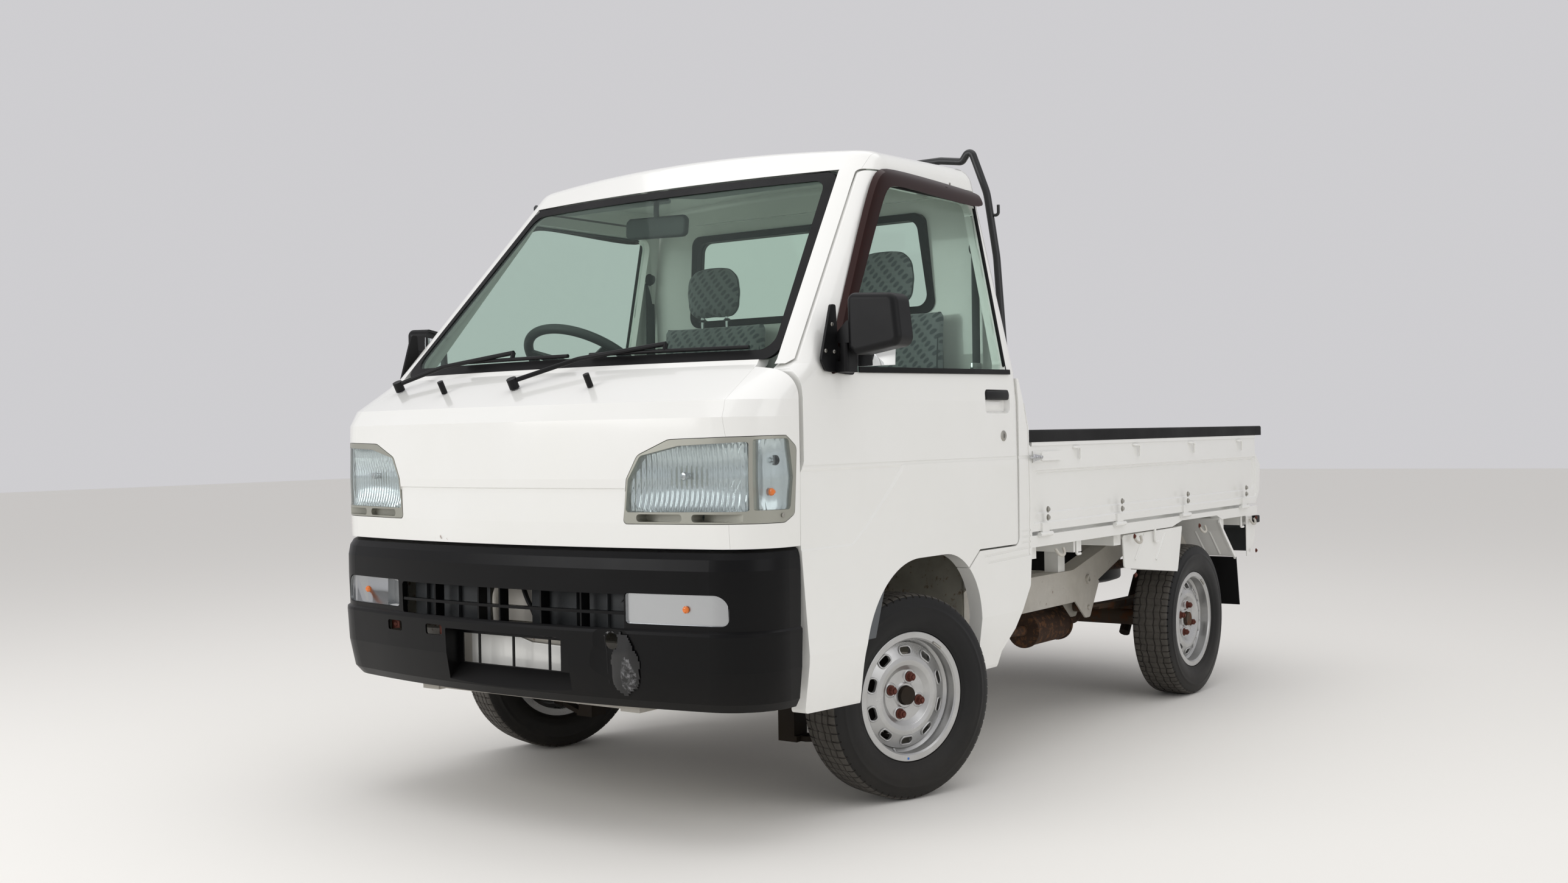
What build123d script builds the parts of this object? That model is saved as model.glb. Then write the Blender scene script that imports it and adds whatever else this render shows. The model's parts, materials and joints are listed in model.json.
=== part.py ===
from build123d import *
import math
import os

# A small full-cab truck with a drop-side bed, right-hand drive, standing with its front
# wheels steered a little to its right. Sizes are millimetres. X points to the vehicle's
# left and Z up. While a piece is built, Y is the distance back from the front of the
# bumper. Writing a piece moves it forward by half the length, so that the origin lies on
# the ground in the middle of the truck.

WIDTH = 1474.0
WHEELBASE = 1900.0
FRONT_AXLE = 840.0
REAR_OVERHANG = 655.0

TYRE_RADIUS = 268.0
TYRE_WIDTH = 145.0
RIM_WIDTH = 114.0
RIM_RADIUS = 169.0
BEAD_RADIUS = 152.5
STEER_AT_REST = -18.3

WALL = 40.0
ROOF_THICKNESS = 28.0
GLASS = 5.0
SHUT_GAP = 5.0
FIT = 0.5

DECK_TOP = 655.0
FOOT_FLOOR_TOP = 405.0
FIREWALL_Y = 150.0
SEAT_X = 325.0
RAIL_FRONT = 95.0
RAIL_BOTTOM = 305.0

BED_FLOOR_TOP = 655.0
GATE_THICKNESS = 30.0
TAILGATE_THICKNESS = 26.0
GATE_BOTTOM = 660.0
GATE_TOP = 922.0
SEAL_TOP = 958.0
GATE_FRONT = 1436.0
GATE_HINGE_Z = 650.0
GUARD_Y = 1424.0
HEADBOARD_BACK = 1462.0
BUMPER_TOP = 697.0
BUMPER_SKIN = 5.0

SPRING_X = 470.0
SPRING_WIDTH = 46.0
SPRING_RISE = 10.0
LEAF_STEP = 8.0

HALF_WIDTH = WIDTH / 2
REAR_AXLE = FRONT_AXLE + WHEELBASE
LENGTH = REAR_AXLE + REAR_OVERHANG
FRONT_HUB_X = HALF_WIDTH - 92.0
REAR_HUB_X = HALF_WIDTH - 87.0
KINGPIN_X = FRONT_HUB_X - 45.0
WHEEL_HOUSE_WALL = KINGPIN_X - 188.0
CAB_FLOOR_HALF = HALF_WIDTH - 69.0
BAND_X = HALF_WIDTH - 85.0
GATE_OUTER = HALF_WIDTH - 5.0
GATE_INNER = GATE_OUTER - GATE_THICKNESS
BED_HALF = GATE_INNER - SHUT_GAP
TAILGATE_HALF = BED_HALF - SHUT_GAP
TAILGATE_BACK = LENGTH - 9.0
TAILGATE_FRONT = TAILGATE_BACK - TAILGATE_THICKNESS
BED_BACK = TAILGATE_FRONT - SHUT_GAP
HINGE_X = GATE_OUTER + 5.0
SPRING_SEAT = TYRE_RADIUS + 44.0
SPRING_FRONT_EYE = REAR_AXLE - 435.0
SPRING_REAR_EYE = REAR_AXLE + 490.0
SPRING_EYE_Z = SPRING_SEAT + FIT + 2.5 * LEAF_STEP + SPRING_RISE

# The cab's outer skin in level cuts. Columns: height, foremost point of the nose,
# half width, radius of the front corners, rear wall.
NOSE_RADIUS = 2980.0
REAR_CORNER = 80.0
ROOF_EDGE = 55.0
ROOF_EDGE_INSIDE = 18.0
CAB_LEVELS = (
    (250.0, 60.0, HALF_WIDTH - 37.0, 120.0, 1421.0),
    (300.0, 40.0, HALF_WIDTH - 23.0, 140.0, 1421.0),
    (440.0, 24.0, HALF_WIDTH - 5.0, 150.0, 1418.0),
    (860.0, 16.0, HALF_WIDTH, 150.0, 1404.0),
    (1000.0, 20.0, HALF_WIDTH, 150.0, 1400.0),
    (1040.0, 48.0, HALF_WIDTH, 140.0, 1399.0),
    (1125.0, 208.0, HALF_WIDTH - 6.0, 90.0, 1396.0),
    (1790.0, 805.0, HALF_WIDTH - 140.0, 90.0, 1362.0),
)
CROWN_RADIUS = 6800.0
ROOF_TOP = 1744.0
ROOF_TILT = 1.4
BELT = 1125.0

# Outlines seen from the side. Columns: distance back, height, corner radius.
DOOR_OUTLINE = (
    (277.0, 1112.0, 12.0),
    (278.0, 895.0, 0.0),
    (268.0, 868.0, 0.0),
    (266.0, 680.0, 60.0),
    (298.0, 420.0, 60.0),
    (297.0, 302.0, 12.0),
    (600.0, 291.0, 0.0),
    (1053.0, 586.0, 0.0),
    (1117.0, 632.0, 15.0),
    (1347.0, 632.0, 22.0),
    (1347.0, 1645.0, 28.0),
    (750.0, 1645.0, 30.0),
    (312.0, 1133.0, 10.0),
)
DOOR_FRONT = 266.0
WINDOW_OUTLINE = (
    (412.0, 1106.0, 15.0),
    (1292.0, 1118.0, 40.0),
    (1300.0, 1614.0, 35.0),
    (772.0, 1614.0, 28.0),
    (417.0, 1150.0, 20.0),
)
ARCH_OUTLINE = (
    (FRONT_AXLE - 304, 200.0, 0.0),
    (FRONT_AXLE + 288, 200.0, 0.0),
    (FRONT_AXLE + 288, 632.0, 200.0),
    (FRONT_AXLE - 304, 632.0, 260.0),
)
HANDLE_RECESS = ((1156.0, 1006.0, 16.0), (1300.0, 1006.0, 16.0), (1300.0, 1074.0, 14.0), (1156.0, 1074.0, 14.0))

# The pressed hollow ahead of the wheel arch, below the shoulder line.
SHOULDER_Z = 880.0
FLARE_HOLLOW = (
    (225.0, 681.0),
    (484.0, 681.0),
    (550.0, 724.0),
    (659.0, 812.0),
    (716.0, 861.0),
    (722.0, SHOULDER_Z),
    (225.0, SHOULDER_Z),
)
FLARE_DEPTH = 4.5
FLARE_SLOPE = 65.0

# Fine pressed lines in the side's skin. Columns: start, end, width.
LINE_DEPTH = 1.8
SIDE_LINES = (
    ((262.0, SHOULDER_Z), (1424.0, SHOULDER_Z), 9.0),
    ((1367.0, 1100.0), (1406.0, 966.0), 4.0),
    ((1406.0, 970.0), (1417.0, 745.0), 4.0),
    ((1417.0, 749.0), (1411.0, 599.0), 4.0),
    ((1369.0, 667.0), (1421.0, 667.0), 5.0),
    ((1369.0, 650.0), (1421.0, 650.0), 5.0),
    ((1369.0, 634.0), (1421.0, 634.0), 5.0),
    ((1144.0, 610.0), (1418.0, 618.0), 6.0),
    ((1164.0, 591.0), (1417.0, 597.0), 6.0),
)

# Where the side's sheet ends behind the rear wall, and its upswept lower edge.
QUARTER_EDGE = (
    (1300.0, 320.0),
    (1335.0, 390.0),
    (1420.0, 506.0),
    (1431.0, 631.0),
    (1431.0, 905.0),
    (1415.0, 915.0),
    (1415.0, 960.0),
    (1362.0, 1107.0),
    (1300.0, 1107.0),
)
QUARTER_BELOW = (
    (1240.0, 280.0),
    (1263.0, 332.0),
    (1335.0, 390.0),
    (1420.0, 506.0),
    (1431.0, 631.0),
    (1520.0, 631.0),
    (1520.0, 280.0),
)

# The windshield's edge seen from the front. Columns: half width, height, corner radius.
SHIELD_EDGE = (
    (HALF_WIDTH - 82.0, BELT + 12.0, 30.0),
    (HALF_WIDTH - 189.0, 1645.0, 40.0),
)

# The seam between nose panel and corner panel. Columns: half width, height.
NOSE_SEAM = (
    (HALF_WIDTH - 82.0, BUMPER_TOP + 3.0),
    (HALF_WIDTH - 87.0, 955.0),
    (HALF_WIDTH - 97.0, 1015.0),
    (HALF_WIDTH - 129.0, 1137.0),
)

# Lamp outlines. Seen from the front the first column is across, from the side it is back.
LAMP_FRONT = (
    (HALF_WIDTH - 354, 755.0, 10.0),
    (163.0 + HALF_WIDTH, 757.0, 0.0),
    (163.0 + HALF_WIDTH, 961.0, 0.0),
    (HALF_WIDTH - 230, 952.0, 40.0),
    (HALF_WIDTH - 313, 916.0, 25.0),
    (HALF_WIDTH - 343, 860.0, 20.0),
)
LAMP_SIDE = (
    (-50.0, 740.0, 0.0),
    (205.0, 757.0, 22.0),
    (240.0, 775.0, 14.0),
    (250.0, 930.0, 18.0),
    (205.0, 961.0, 30.0),
    (-50.0, 975.0, 0.0),
)
LENS_FRONT = (
    (HALF_WIDTH - 346, 783.0, 8.0),
    (HALF_WIDTH - 44, 785.0, 6.0),
    (HALF_WIDTH - 44, 943.0, 6.0),
    (HALF_WIDTH - 206, 936.0, 40.0),
    (HALF_WIDTH - 305, 914.0, 18.0),
    (HALF_WIDTH - 337, 859.0, 20.0),
)
MARKER_FRONT = (
    (HALF_WIDTH - 38, 787.0, 5.0),
    (163.0 + HALF_WIDTH, 785.0, 0.0),
    (163.0 + HALF_WIDTH, 956.0, 0.0),
    (HALF_WIDTH - 38, 948.0, 5.0),
)
MARKER_SIDE = (
    (-50.0, 783.0, 0.0),
    (222.0, 785.0, 14.0),
    (233.0, 862.0, 8.0),
    (218.0, 952.0, 14.0),
    (-50.0, 956.0, 0.0),
)
LENS_SKIN = 6.0
LAMP_DEPTH = 32.0
# Columns: inner end across, outer end across.
LAMP_SLOTS = ((HALF_WIDTH - 317, HALF_WIDTH - 197), (HALF_WIDTH - 172, HALF_WIDTH - 52))


def outline(rows):
    """A closed face from rows of two coordinates and a corner radius."""
    points = [(u, v) for u, v, radius in rows]
    radii = [radius for u, v, radius in rows]
    return make_face(FilletPolyline(*points, radius=radii, close=True))


def sharp(points):
    """The same rows with no corner radius."""
    return [(u, v, 0.0) for u, v in points]


def band(start, end, width):
    """A thin four-cornered strip from one point to another in an outline's plane."""
    run_u, run_v = end[0] - start[0], end[1] - start[1]
    length = math.hypot(run_u, run_v)
    side_u, side_v = -run_v / length * width / 2, run_u / length * width / 2
    return sharp((
        (start[0] + side_u, start[1] + side_v),
        (start[0] - side_u, start[1] - side_v),
        (end[0] - side_u, end[1] - side_v),
        (end[0] + side_u, end[1] + side_v),
    ))


def from_side(rows, x_low, x_high):
    """A side outline of (distance back, height, radius) given its width."""
    return extrude(Plane.YZ.offset(x_low) * outline(rows), x_high - x_low)


def pressed_from_side(rows, x_outer, depth, slope):
    """A side outline pressed inwards from the left, its walls sloping by an angle."""
    plane = Plane((x_outer, 0, 0), x_dir=(0, 1, 0), z_dir=(-1, 0, 0))
    face = plane * outline([(u, -v, radius) for u, v, radius in rows])
    return extrude(face, depth, taper=slope)


def from_front(rows, y_front, y_back):
    """A front outline of (across, height, radius) given its depth."""
    plane = Plane((0, y_back, 0), x_dir=(1, 0, 0), z_dir=(0, -1, 0))
    return extrude(plane * outline(rows), y_back - y_front)


def pressed_from_rear(rows, y_outer, depth, slope):
    """A front outline pressed forwards from the rear, its walls sloping by an angle."""
    plane = Plane((0, y_outer, 0), x_dir=(1, 0, 0), z_dir=(0, -1, 0))
    return extrude(plane * outline(rows), depth, taper=slope)


def from_above(rows, z_low, z_high):
    """A plan outline of (across, distance back, radius) given its height."""
    return extrude(Pos(0, 0, z_low) * outline(rows), z_high - z_low)


def block(x_range, y_range, z_range):
    """A box between three pairs of limits."""
    size = [high - low for low, high in (x_range, y_range, z_range)]
    middle = [(high + low) / 2 for low, high in (x_range, y_range, z_range)]
    return Pos(*middle) * Box(*size)


def rod(start, end, radius):
    """A round bar between two points."""
    path = Line(start, end)
    return sweep(Plane(path @ 0, z_dir=path % 0) * Circle(radius), path=path)


def pipe(points, bend, radius):
    """A round bar along straight runs joined by bends."""
    path = FilletPolyline(*points, radius=bend)
    return sweep(Plane(path @ 0, z_dir=path % 0) * Circle(radius), path=path)


def other_side(shape):
    """The same piece on the other side of the truck."""
    return mirror(shape, about=Plane.YZ)


def both(shape):
    """A piece and its mirror image, as two solids."""
    return [shape, other_side(shape)]


def write(name, *shapes):
    """Write one node, moved to the truck's own origin."""
    solids = []
    for shape in shapes:
        solids.extend(shape.solids())
    node = Pos(0, -LENGTH / 2, 0) * Compound(solids)
    export_step(node, os.path.join("parts", name + ".step"))


def bow(x, inset=0.0):
    """How far the bowed nose falls back at a distance from the middle."""
    return NOSE_RADIUS - inset - math.sqrt((NOSE_RADIUS - inset) ** 2 - x ** 2)


def cab_level(level, inset, back_corner=REAR_CORNER):
    """One level cut of the cab: a bowed nose, round corners, straight sides and rear."""
    height, nose, half, corner, rear = level
    nose += inset
    half -= inset
    corner -= inset
    rear -= inset
    centre = nose + NOSE_RADIUS - inset
    corner_x = half - corner
    spread = NOSE_RADIUS - inset - corner
    reach = math.sqrt(spread ** 2 - corner_x ** 2)
    corner_y = centre - reach
    out_x = corner_x / spread
    out_y = -reach / spread
    turn = math.hypot(out_x + 1, out_y)
    start = (corner_x + corner * out_x, corner_y + corner * out_y)
    middle = (corner_x + corner * (out_x + 1) / turn, corner_y + corner * out_y / turn)
    end = (half, corner_y)
    round_back = back_corner - inset
    diagonal = round_back * math.sqrt(0.5)
    back_start = (half, rear - round_back)
    back_middle = (half - round_back + diagonal, rear - round_back + diagonal)
    back_end = (half - round_back, rear)
    flip = lambda point: (-point[0], point[1])
    edges = [
        ThreePointArc(flip(start), (0, nose), start),
        ThreePointArc(start, middle, end),
        Line(end, back_start),
        ThreePointArc(back_start, back_middle, back_end),
        Line(back_end, flip(back_end)),
        ThreePointArc(flip(back_end), flip(back_middle), flip(back_start)),
        Line(flip(back_start), flip(end)),
        ThreePointArc(flip(end), flip(middle), flip(start)),
    ]
    return Pos(0, 0, height) * make_face(Curve() + edges)


def cab_solid(inset, roof_inset, edge_radius=0.0):
    """The cab's outer form, drawn in by an inset, with its roof edge rounded."""
    body = loft([cab_level(level, inset) for level in CAB_LEVELS], ruled=True)
    crown = Cylinder(CROWN_RADIUS - roof_inset, 3000.0 + WIDTH)
    crown = Pos(0, 1350, ROOF_TOP - CROWN_RADIUS) * Rot(90 + ROOF_TILT, 0, 0) * crown
    body = body & crown
    if edge_radius > 0:
        top = body.faces().sort_by(Axis.Z)[-1]
        body = fillet(top.edges(), edge_radius)
    return body


# How much further back the side's sheet reaches than the rear wall, and its edge's radius.
SHEET_BEYOND = 70.0
SHEET_CORNER = 8.0


def side_sheet(inset):
    """The cab's form below the roof with its sides carried on past the rear wall."""
    faces = []
    for height, nose, half, corner, rear in CAB_LEVELS[:-1]:
        level = (height, nose, half, corner, rear + SHEET_BEYOND)
        faces.append(cab_level(level, inset, SHEET_CORNER))
    return loft(faces, ruled=True)


def shield_opening(shrink):
    """The windshield opening seen from the front, as a deep cutter."""
    (low_x, low_z, low_r), (high_x, high_z, high_r) = SHIELD_EDGE
    rows = (
        (low_x - shrink, low_z + shrink, low_r),
        (high_x - shrink, high_z - shrink, high_r),
        (-high_x + shrink, high_z - shrink, high_r),
        (-low_x + shrink, low_z + shrink, low_r),
    )
    return from_front(rows, 0, 1000)


def side_band(outer_x):
    """The zone of the side walls: outboard of a line that leans in with them."""
    far = HALF_WIDTH + 200
    rows = sharp(((outer_x, 200), (outer_x, BELT), (outer_x - 78, 1800), (far, 1800), (far, 200)))
    return from_front(rows, 200, 1500)


def cab_shell():
    """The whole cab wall, open below."""
    far = HALF_WIDTH + 200
    outer = cab_solid(0.0, 0.0, ROOF_EDGE) - block((-far, far), (-100, 1600), (200, 291))
    inner = cab_solid(WALL, ROOF_THICKNESS, ROOF_EDGE_INSIDE)
    return outer - inner


SHELL = cab_shell()
SHEET = side_sheet(0.0)


def side_lines():
    """The fine pressed lines of the left side, as a shallow cutter."""
    skin = SHEET - side_sheet(LINE_DEPTH)
    strips = None
    for start, end, width in SIDE_LINES:
        strip = from_side(band(start, end, width), HALF_WIDTH - 60, HALF_WIDTH + 20)
        strips = strip if strips is None else strips + strip
    return skin & strips


LINES = side_lines()


def build_door():
    """The left door: skin and frame in one, with the window and the wheel arch cut."""
    far = HALF_WIDTH + 100
    door = SHELL & from_side(DOOR_OUTLINE, 500, far) & side_band(BAND_X)
    door -= from_side(ARCH_OUTLINE, 500, far)
    door -= from_side(WINDOW_OUTLINE, 500, far)
    door -= pressed_from_side(HANDLE_RECESS, HALF_WIDTH, 16.0, 20.0)
    door -= pressed_from_side(sharp(FLARE_HOLLOW), HALF_WIDTH, FLARE_DEPTH, FLARE_SLOPE)
    return door - LINES


def door_hole():
    """The opening that the door closes, larger than it by the shut gap."""
    face = outline(DOOR_OUTLINE)
    wide = offset(face, amount=SHUT_GAP, kind=Kind.INTERSECTION)
    return extrude(Plane.YZ.offset(500) * wide, HALF_WIDTH - 300)


# The seam between the side frame and the rear wall, seen from the rear.
# Columns: half width, height.
ROOF_SEAM_X = HALF_WIDTH - 137.0
ROOF_SEAM_Z = 1650.0
BACK_SEAM = ((BAND_X, 200.0), (BAND_X, BELT), (ROOF_SEAM_X, ROOF_SEAM_Z))
SIDE_MIDDLE = 1000.0
REAR_WALL_FRONT = 1353.0
SHEET_THICKNESS = 24.0


def build_side_frame():
    """Windshield pillar, roof rail, rear pillar and rear quarter of the left side."""
    far = HALF_WIDTH + 163
    (low_x, low_z, low_r), (high_x, high_z, high_r) = SHIELD_EDGE
    outside = ((far, 1800), (far, 200))
    top = ((ROOF_SEAM_X, ROOF_SEAM_Z), (ROOF_SEAM_X, 1800))
    pillar = ((low_x + 2, 200), (low_x, low_z), (high_x, high_z), (high_x, ROOF_SEAM_Z))
    back = [(x + FIT, z) for x, z in BACK_SEAM]
    zone = from_front(sharp(pillar + top + outside), 0, SIDE_MIDDLE)
    zone += from_front(sharp(tuple(back) + top[1:] + outside), SIDE_MIDDLE, 1500)
    frame = SHELL & zone
    frame += SHEET & from_side(sharp(QUARTER_EDGE), HALF_WIDTH - SHEET_THICKNESS, far)
    frame -= from_side(sharp(QUARTER_BELOW), 500, far)
    frame -= door_hole() & side_band(BAND_X - 7)
    frame -= block((0, far), (0, 800), (200, BELT))
    frame -= from_side(ARCH_OUTLINE, 500, far)
    return frame - LINES


def build_roof():
    """The roof panel between the two roof rails."""
    half = ROOF_SEAM_X - FIT
    zone = block((-half, half), (500, 1500), (ROOF_SEAM_Z, 1800))
    return SHELL & zone


# Shallow pressings of the rear wall below its window. Columns: bottom, top.
WALL_RIBS = ((640.0, 700.0), (760.0, 820.0), (880.0, 940.0), (1000.0, 1060.0), (1120.0, 1180.0))


def build_rear_wall():
    """The cab's back, with the rear window cut and stiffening ribs pressed in."""
    right = [(-x, z) for x, z in reversed(BACK_SEAM)]
    zone = from_front(sharp(list(BACK_SEAM) + right), REAR_WALL_FRONT, 1500)
    zone -= block((-HALF_WIDTH, HALF_WIDTH), (1000, 1500), (100, 560))
    wall = SHELL & zone
    wall -= from_front(rear_window_rows(0.0), 1300, 1500)
    half = BAND_X - 70
    for low, high in WALL_RIBS:
        rows = ((-half, low, 20.0), (half, low, 20.0), (half, high, 20.0), (-half, high, 20.0))
        middle = (low + high) / 2
        rear = 1404.0 - (middle - 860.0) * 8.0 / 265.0
        wall -= pressed_from_rear(rows, rear + 2, 8.0, 45.0)
    return wall


def rear_window_rows(shrink):
    """The rear window seen from the front."""
    low, high = HALF_WIDTH - 267, HALF_WIDTH - 297
    return (
        (-low + shrink, 1312 + shrink, 35.0),
        (low - shrink, 1312 + shrink, 35.0),
        (high - shrink, 1612 - shrink, 35.0),
        (-high + shrink, 1612 - shrink, 35.0),
    )


def lamp_cutter(shrink):
    """The headlight's opening on the left side, round the corner to the marker's rear edge."""
    front = from_front(LAMP_FRONT, -50, 300)
    whole = front & from_side(LAMP_SIDE, HALF_WIDTH - 500, HALF_WIDTH + 100)
    if shrink == 0:
        return whole
    front = from_front(inward(LAMP_FRONT, shrink), -50, 300)
    return front & from_side(inward(LAMP_SIDE, shrink), HALF_WIDTH - 500, HALF_WIDTH + 100)


def inward(rows, shrink):
    """Rows drawn towards their middle by an amount along each axis."""
    middle_u = (min(row[0] for row in rows) + max(row[0] for row in rows)) / 2
    middle_v = (min(row[1] for row in rows) + max(row[1] for row in rows)) / 2
    drawn = []
    for u, v, radius in rows:
        drawn.append((u + math.copysign(shrink, middle_u - u), v + math.copysign(shrink, middle_v - v), radius))
    return drawn


# The nose's crease and how far the sheet below it stands back, fading downwards.
CREASE_Z = 839.0
CREASE_FADE_Z = 757.0
CREASE_DEPTH = 4.0
CREASE_HALF = HALF_WIDTH - 346.0


def nose_at(height):
    """The foremost point of the nose at a height below the shoulder."""
    low, high = CAB_LEVELS[2], CAB_LEVELS[3]
    return low[1] + (high[1] - low[1]) * (height - low[0]) / (high[0] - low[0])


def build_front_panel():
    """The nose between the lamps and up to the windshield, with its crease."""
    right = [(-x, z) for x, z in reversed(NOSE_SEAM)]
    panel = SHELL & from_front(sharp(list(NOSE_SEAM) + right), 0, 330)
    lamp = lamp_cutter(0.0)
    panel = panel - lamp - other_side(lamp)
    levels = []
    for height, inset in ((CREASE_FADE_Z, 0.0), (CREASE_Z, CREASE_DEPTH)):
        levels.append(cab_level((height, nose_at(height), HALF_WIDTH, 150.0, 1300.0), inset))
    sunk = block((-CREASE_HALF, CREASE_HALF), (-50, 200), (CREASE_FADE_Z, CREASE_Z))
    return panel - (sunk - loft(levels, ruled=True))


def build_corner_panel():
    """The panel between the nose panel and the door, on the left side."""
    far = HALF_WIDTH + 163
    (low_x, low_z), (high_x, high_z) = NOSE_SEAM[-2:]
    top_x = low_x + (high_x - low_x) * (BELT - low_z) / (high_z - low_z)
    seam = [(x + FIT, z) for x, z in NOSE_SEAM[:-1]] + [(top_x + FIT, BELT)]
    zone = from_front(sharp(seam + [(far, BELT), (far, NOSE_SEAM[0][1])]), 0, DOOR_FRONT - SHUT_GAP)
    return (SHELL & zone) - lamp_cutter(0.0)


def build_headlight():
    """The left headlight: silver housing, main lens and the marker's lens round the corner."""
    cut = lamp_cutter(1.5)
    housing = SHELL & cut
    deep = cab_solid(0.0, 0.0) - cab_solid(LAMP_DEPTH, 0.0)
    lens_zone = from_front(LENS_FRONT, -50, 300)
    marker_zone = from_front(MARKER_FRONT, -50, 400) & from_side(MARKER_SIDE, 0, HALF_WIDTH + 100)
    housing -= deep & lens_zone
    housing -= deep & marker_zone
    for inner, outer in LAMP_SLOTS:
        rows = ((inner, 761, 8.0), (outer, 761, 8.0), (outer, 779, 8.0), (inner, 779, 8.0))
        housing -= from_front(rows, -50, nose_at(770) + bow(outer) + 16)
    skin = cab_solid(1.0, 0.0) - cab_solid(1.0 + LENS_SKIN, 0.0)
    lens = skin & from_front(inward(LENS_FRONT, FIT), -50, 300)
    marker = skin & from_front(inward(MARKER_FRONT, FIT), -50, 400)
    marker = marker & from_side(inward(MARKER_SIDE, FIT), 0, HALF_WIDTH + 100)
    return [housing, lens, marker]


def build_windshield():
    """The curved glass, let into its seal."""
    outer = cab_solid(4.0, 4.0)
    inner = cab_solid(4.0 + GLASS * 1.3, 9.0)
    return (outer - inner) & shield_opening(8.0)


def build_window_seals():
    """The rubber frames round the windshield and the rear window."""
    strip = SHELL - cab_solid(14.0, 14.0)
    front = (strip & shield_opening(0.5)) - shield_opening(24.0) - build_windshield()
    rear = SHELL & from_front(rear_window_rows(0.5), 1300, 1500)
    rear -= from_front(rear_window_rows(22.0), 1300, 1500)
    return [front, rear - build_rear_window()]


def build_rear_window():
    """The flat glass of the rear wall."""
    pane = cab_solid(14.0, 14.0) - cab_solid(14.0 + GLASS, 19.0)
    return pane & from_front(rear_window_rows(10.0), 1300, 1500)


def build_door_glass():
    """The left door's window pane."""
    pane = cab_solid(14.0, 14.0) - cab_solid(14.0 + GLASS, 19.0)
    return pane & from_side(WINDOW_OUTLINE, 500, HALF_WIDTH + 100) & side_band(BAND_X)


def build_cab_floor():
    """Foot floor, seat riser, seat deck, the two wheel houses and the floor levers."""
    inner = WHEEL_HOUSE_WALL
    half = CAB_FLOOR_HALF
    riser = FRONT_AXLE - 304
    foot = (FOOT_FLOOR_TOP - 12, FOOT_FLOOR_TOP)
    floor = block((-half + 30, half - 30), (FIREWALL_Y, riser), foot)
    floor += block((-half + 50, half - 50), (FIREWALL_Y, FIREWALL_Y + 12), (foot[0], 700))
    floor += block((-half, half), (riser - 12, riser), (FOOT_FLOOR_TOP - 12, DECK_TOP))
    floor += block((-half, half), (riser - 12, 1340), (DECK_TOP - 12, DECK_TOP))
    back = FRONT_AXLE + 300
    for side in (1, -1):
        limits = sorted((side * (inner - 12), side * inner))
        floor += block(limits, (riser - 12, back), (330, DECK_TOP))
        limits = sorted((side * (inner - 12), side * half))
        floor += block(limits, (back - 12, back), (330, DECK_TOP))
    lever = rod((0, riser + 70, DECK_TOP - 4), (0, riser + 40, DECK_TOP + 190), 6)
    lever += Pos(0, riser + 40, DECK_TOP + 190) * Sphere(19)
    lever += Pos(0, riser + 70, DECK_TOP + 12) * Cone(44, 20, 26)
    brake = rod((-40, 880, DECK_TOP - 4), (-40, 700, DECK_TOP + 95), 11)
    return floor + lever + brake


def build_chassis():
    """Two ladder rails that widen behind the cab, rise over the rear axle and carry the springs."""
    plan = (
        (318, RAIL_FRONT, 0.0),
        (378, RAIL_FRONT, 0.0),
        (378, 1150, 60.0),
        (500, 1400, 60.0),
        (500, LENGTH - 65, 0.0),
        (440, LENGTH - 65, 0.0),
        (440, 1420, 60.0),
        (318, 1170, 60.0),
    )
    rise = REAR_AXLE - 540
    side = (
        (RAIL_FRONT, RAIL_BOTTOM, 0.0),
        (1320, RAIL_BOTTOM, 80.0),
        (1460, 369, 80.0),
        (rise, 371, 150.0),
        (rise + 400, 500, 150.0),
        (LENGTH - 65, 500, 0.0),
        (LENGTH - 65, 574, 0.0),
        (rise + 390, 574, 150.0),
        (rise - 10, 480, 150.0),
        (1450, 480, 80.0),
        (1290, 390, 80.0),
        (RAIL_FRONT, 390, 0.0),
    )
    rail = from_above(plan, 250, 620) & from_side(side, 300, 520)
    left = rail + build_spring_brackets()
    frame = left + other_side(left)
    for y_front, y_back, z_low, z_high, half in CROSS_MEMBERS:
        frame += block((-half, half), (y_front, y_back), (z_low, z_high))
    return frame


# Columns: front, back, bottom, top, half width.
CROSS_MEMBERS = (
    (RAIL_FRONT + 4, RAIL_FRONT + 32, 310.0, 465.0, 378.0),
    (560.0, 620.0, 315.0, 375.0, 330.0),
    (1600.0, 1650.0, 420.0, 475.0, 450.0),
    (REAR_AXLE - 610, REAR_AXLE - 560, 420.0, 475.0, 450.0),
    (REAR_AXLE - 180, REAR_AXLE - 130, 515.0, 570.0, 450.0),
    (LENGTH - 125, LENGTH - 70, 505.0, 570.0, 450.0),
)
PIN_RADIUS = 8.0
EYE_RADIUS = 17.0
BRACKET_PLATE = 5.0


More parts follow.
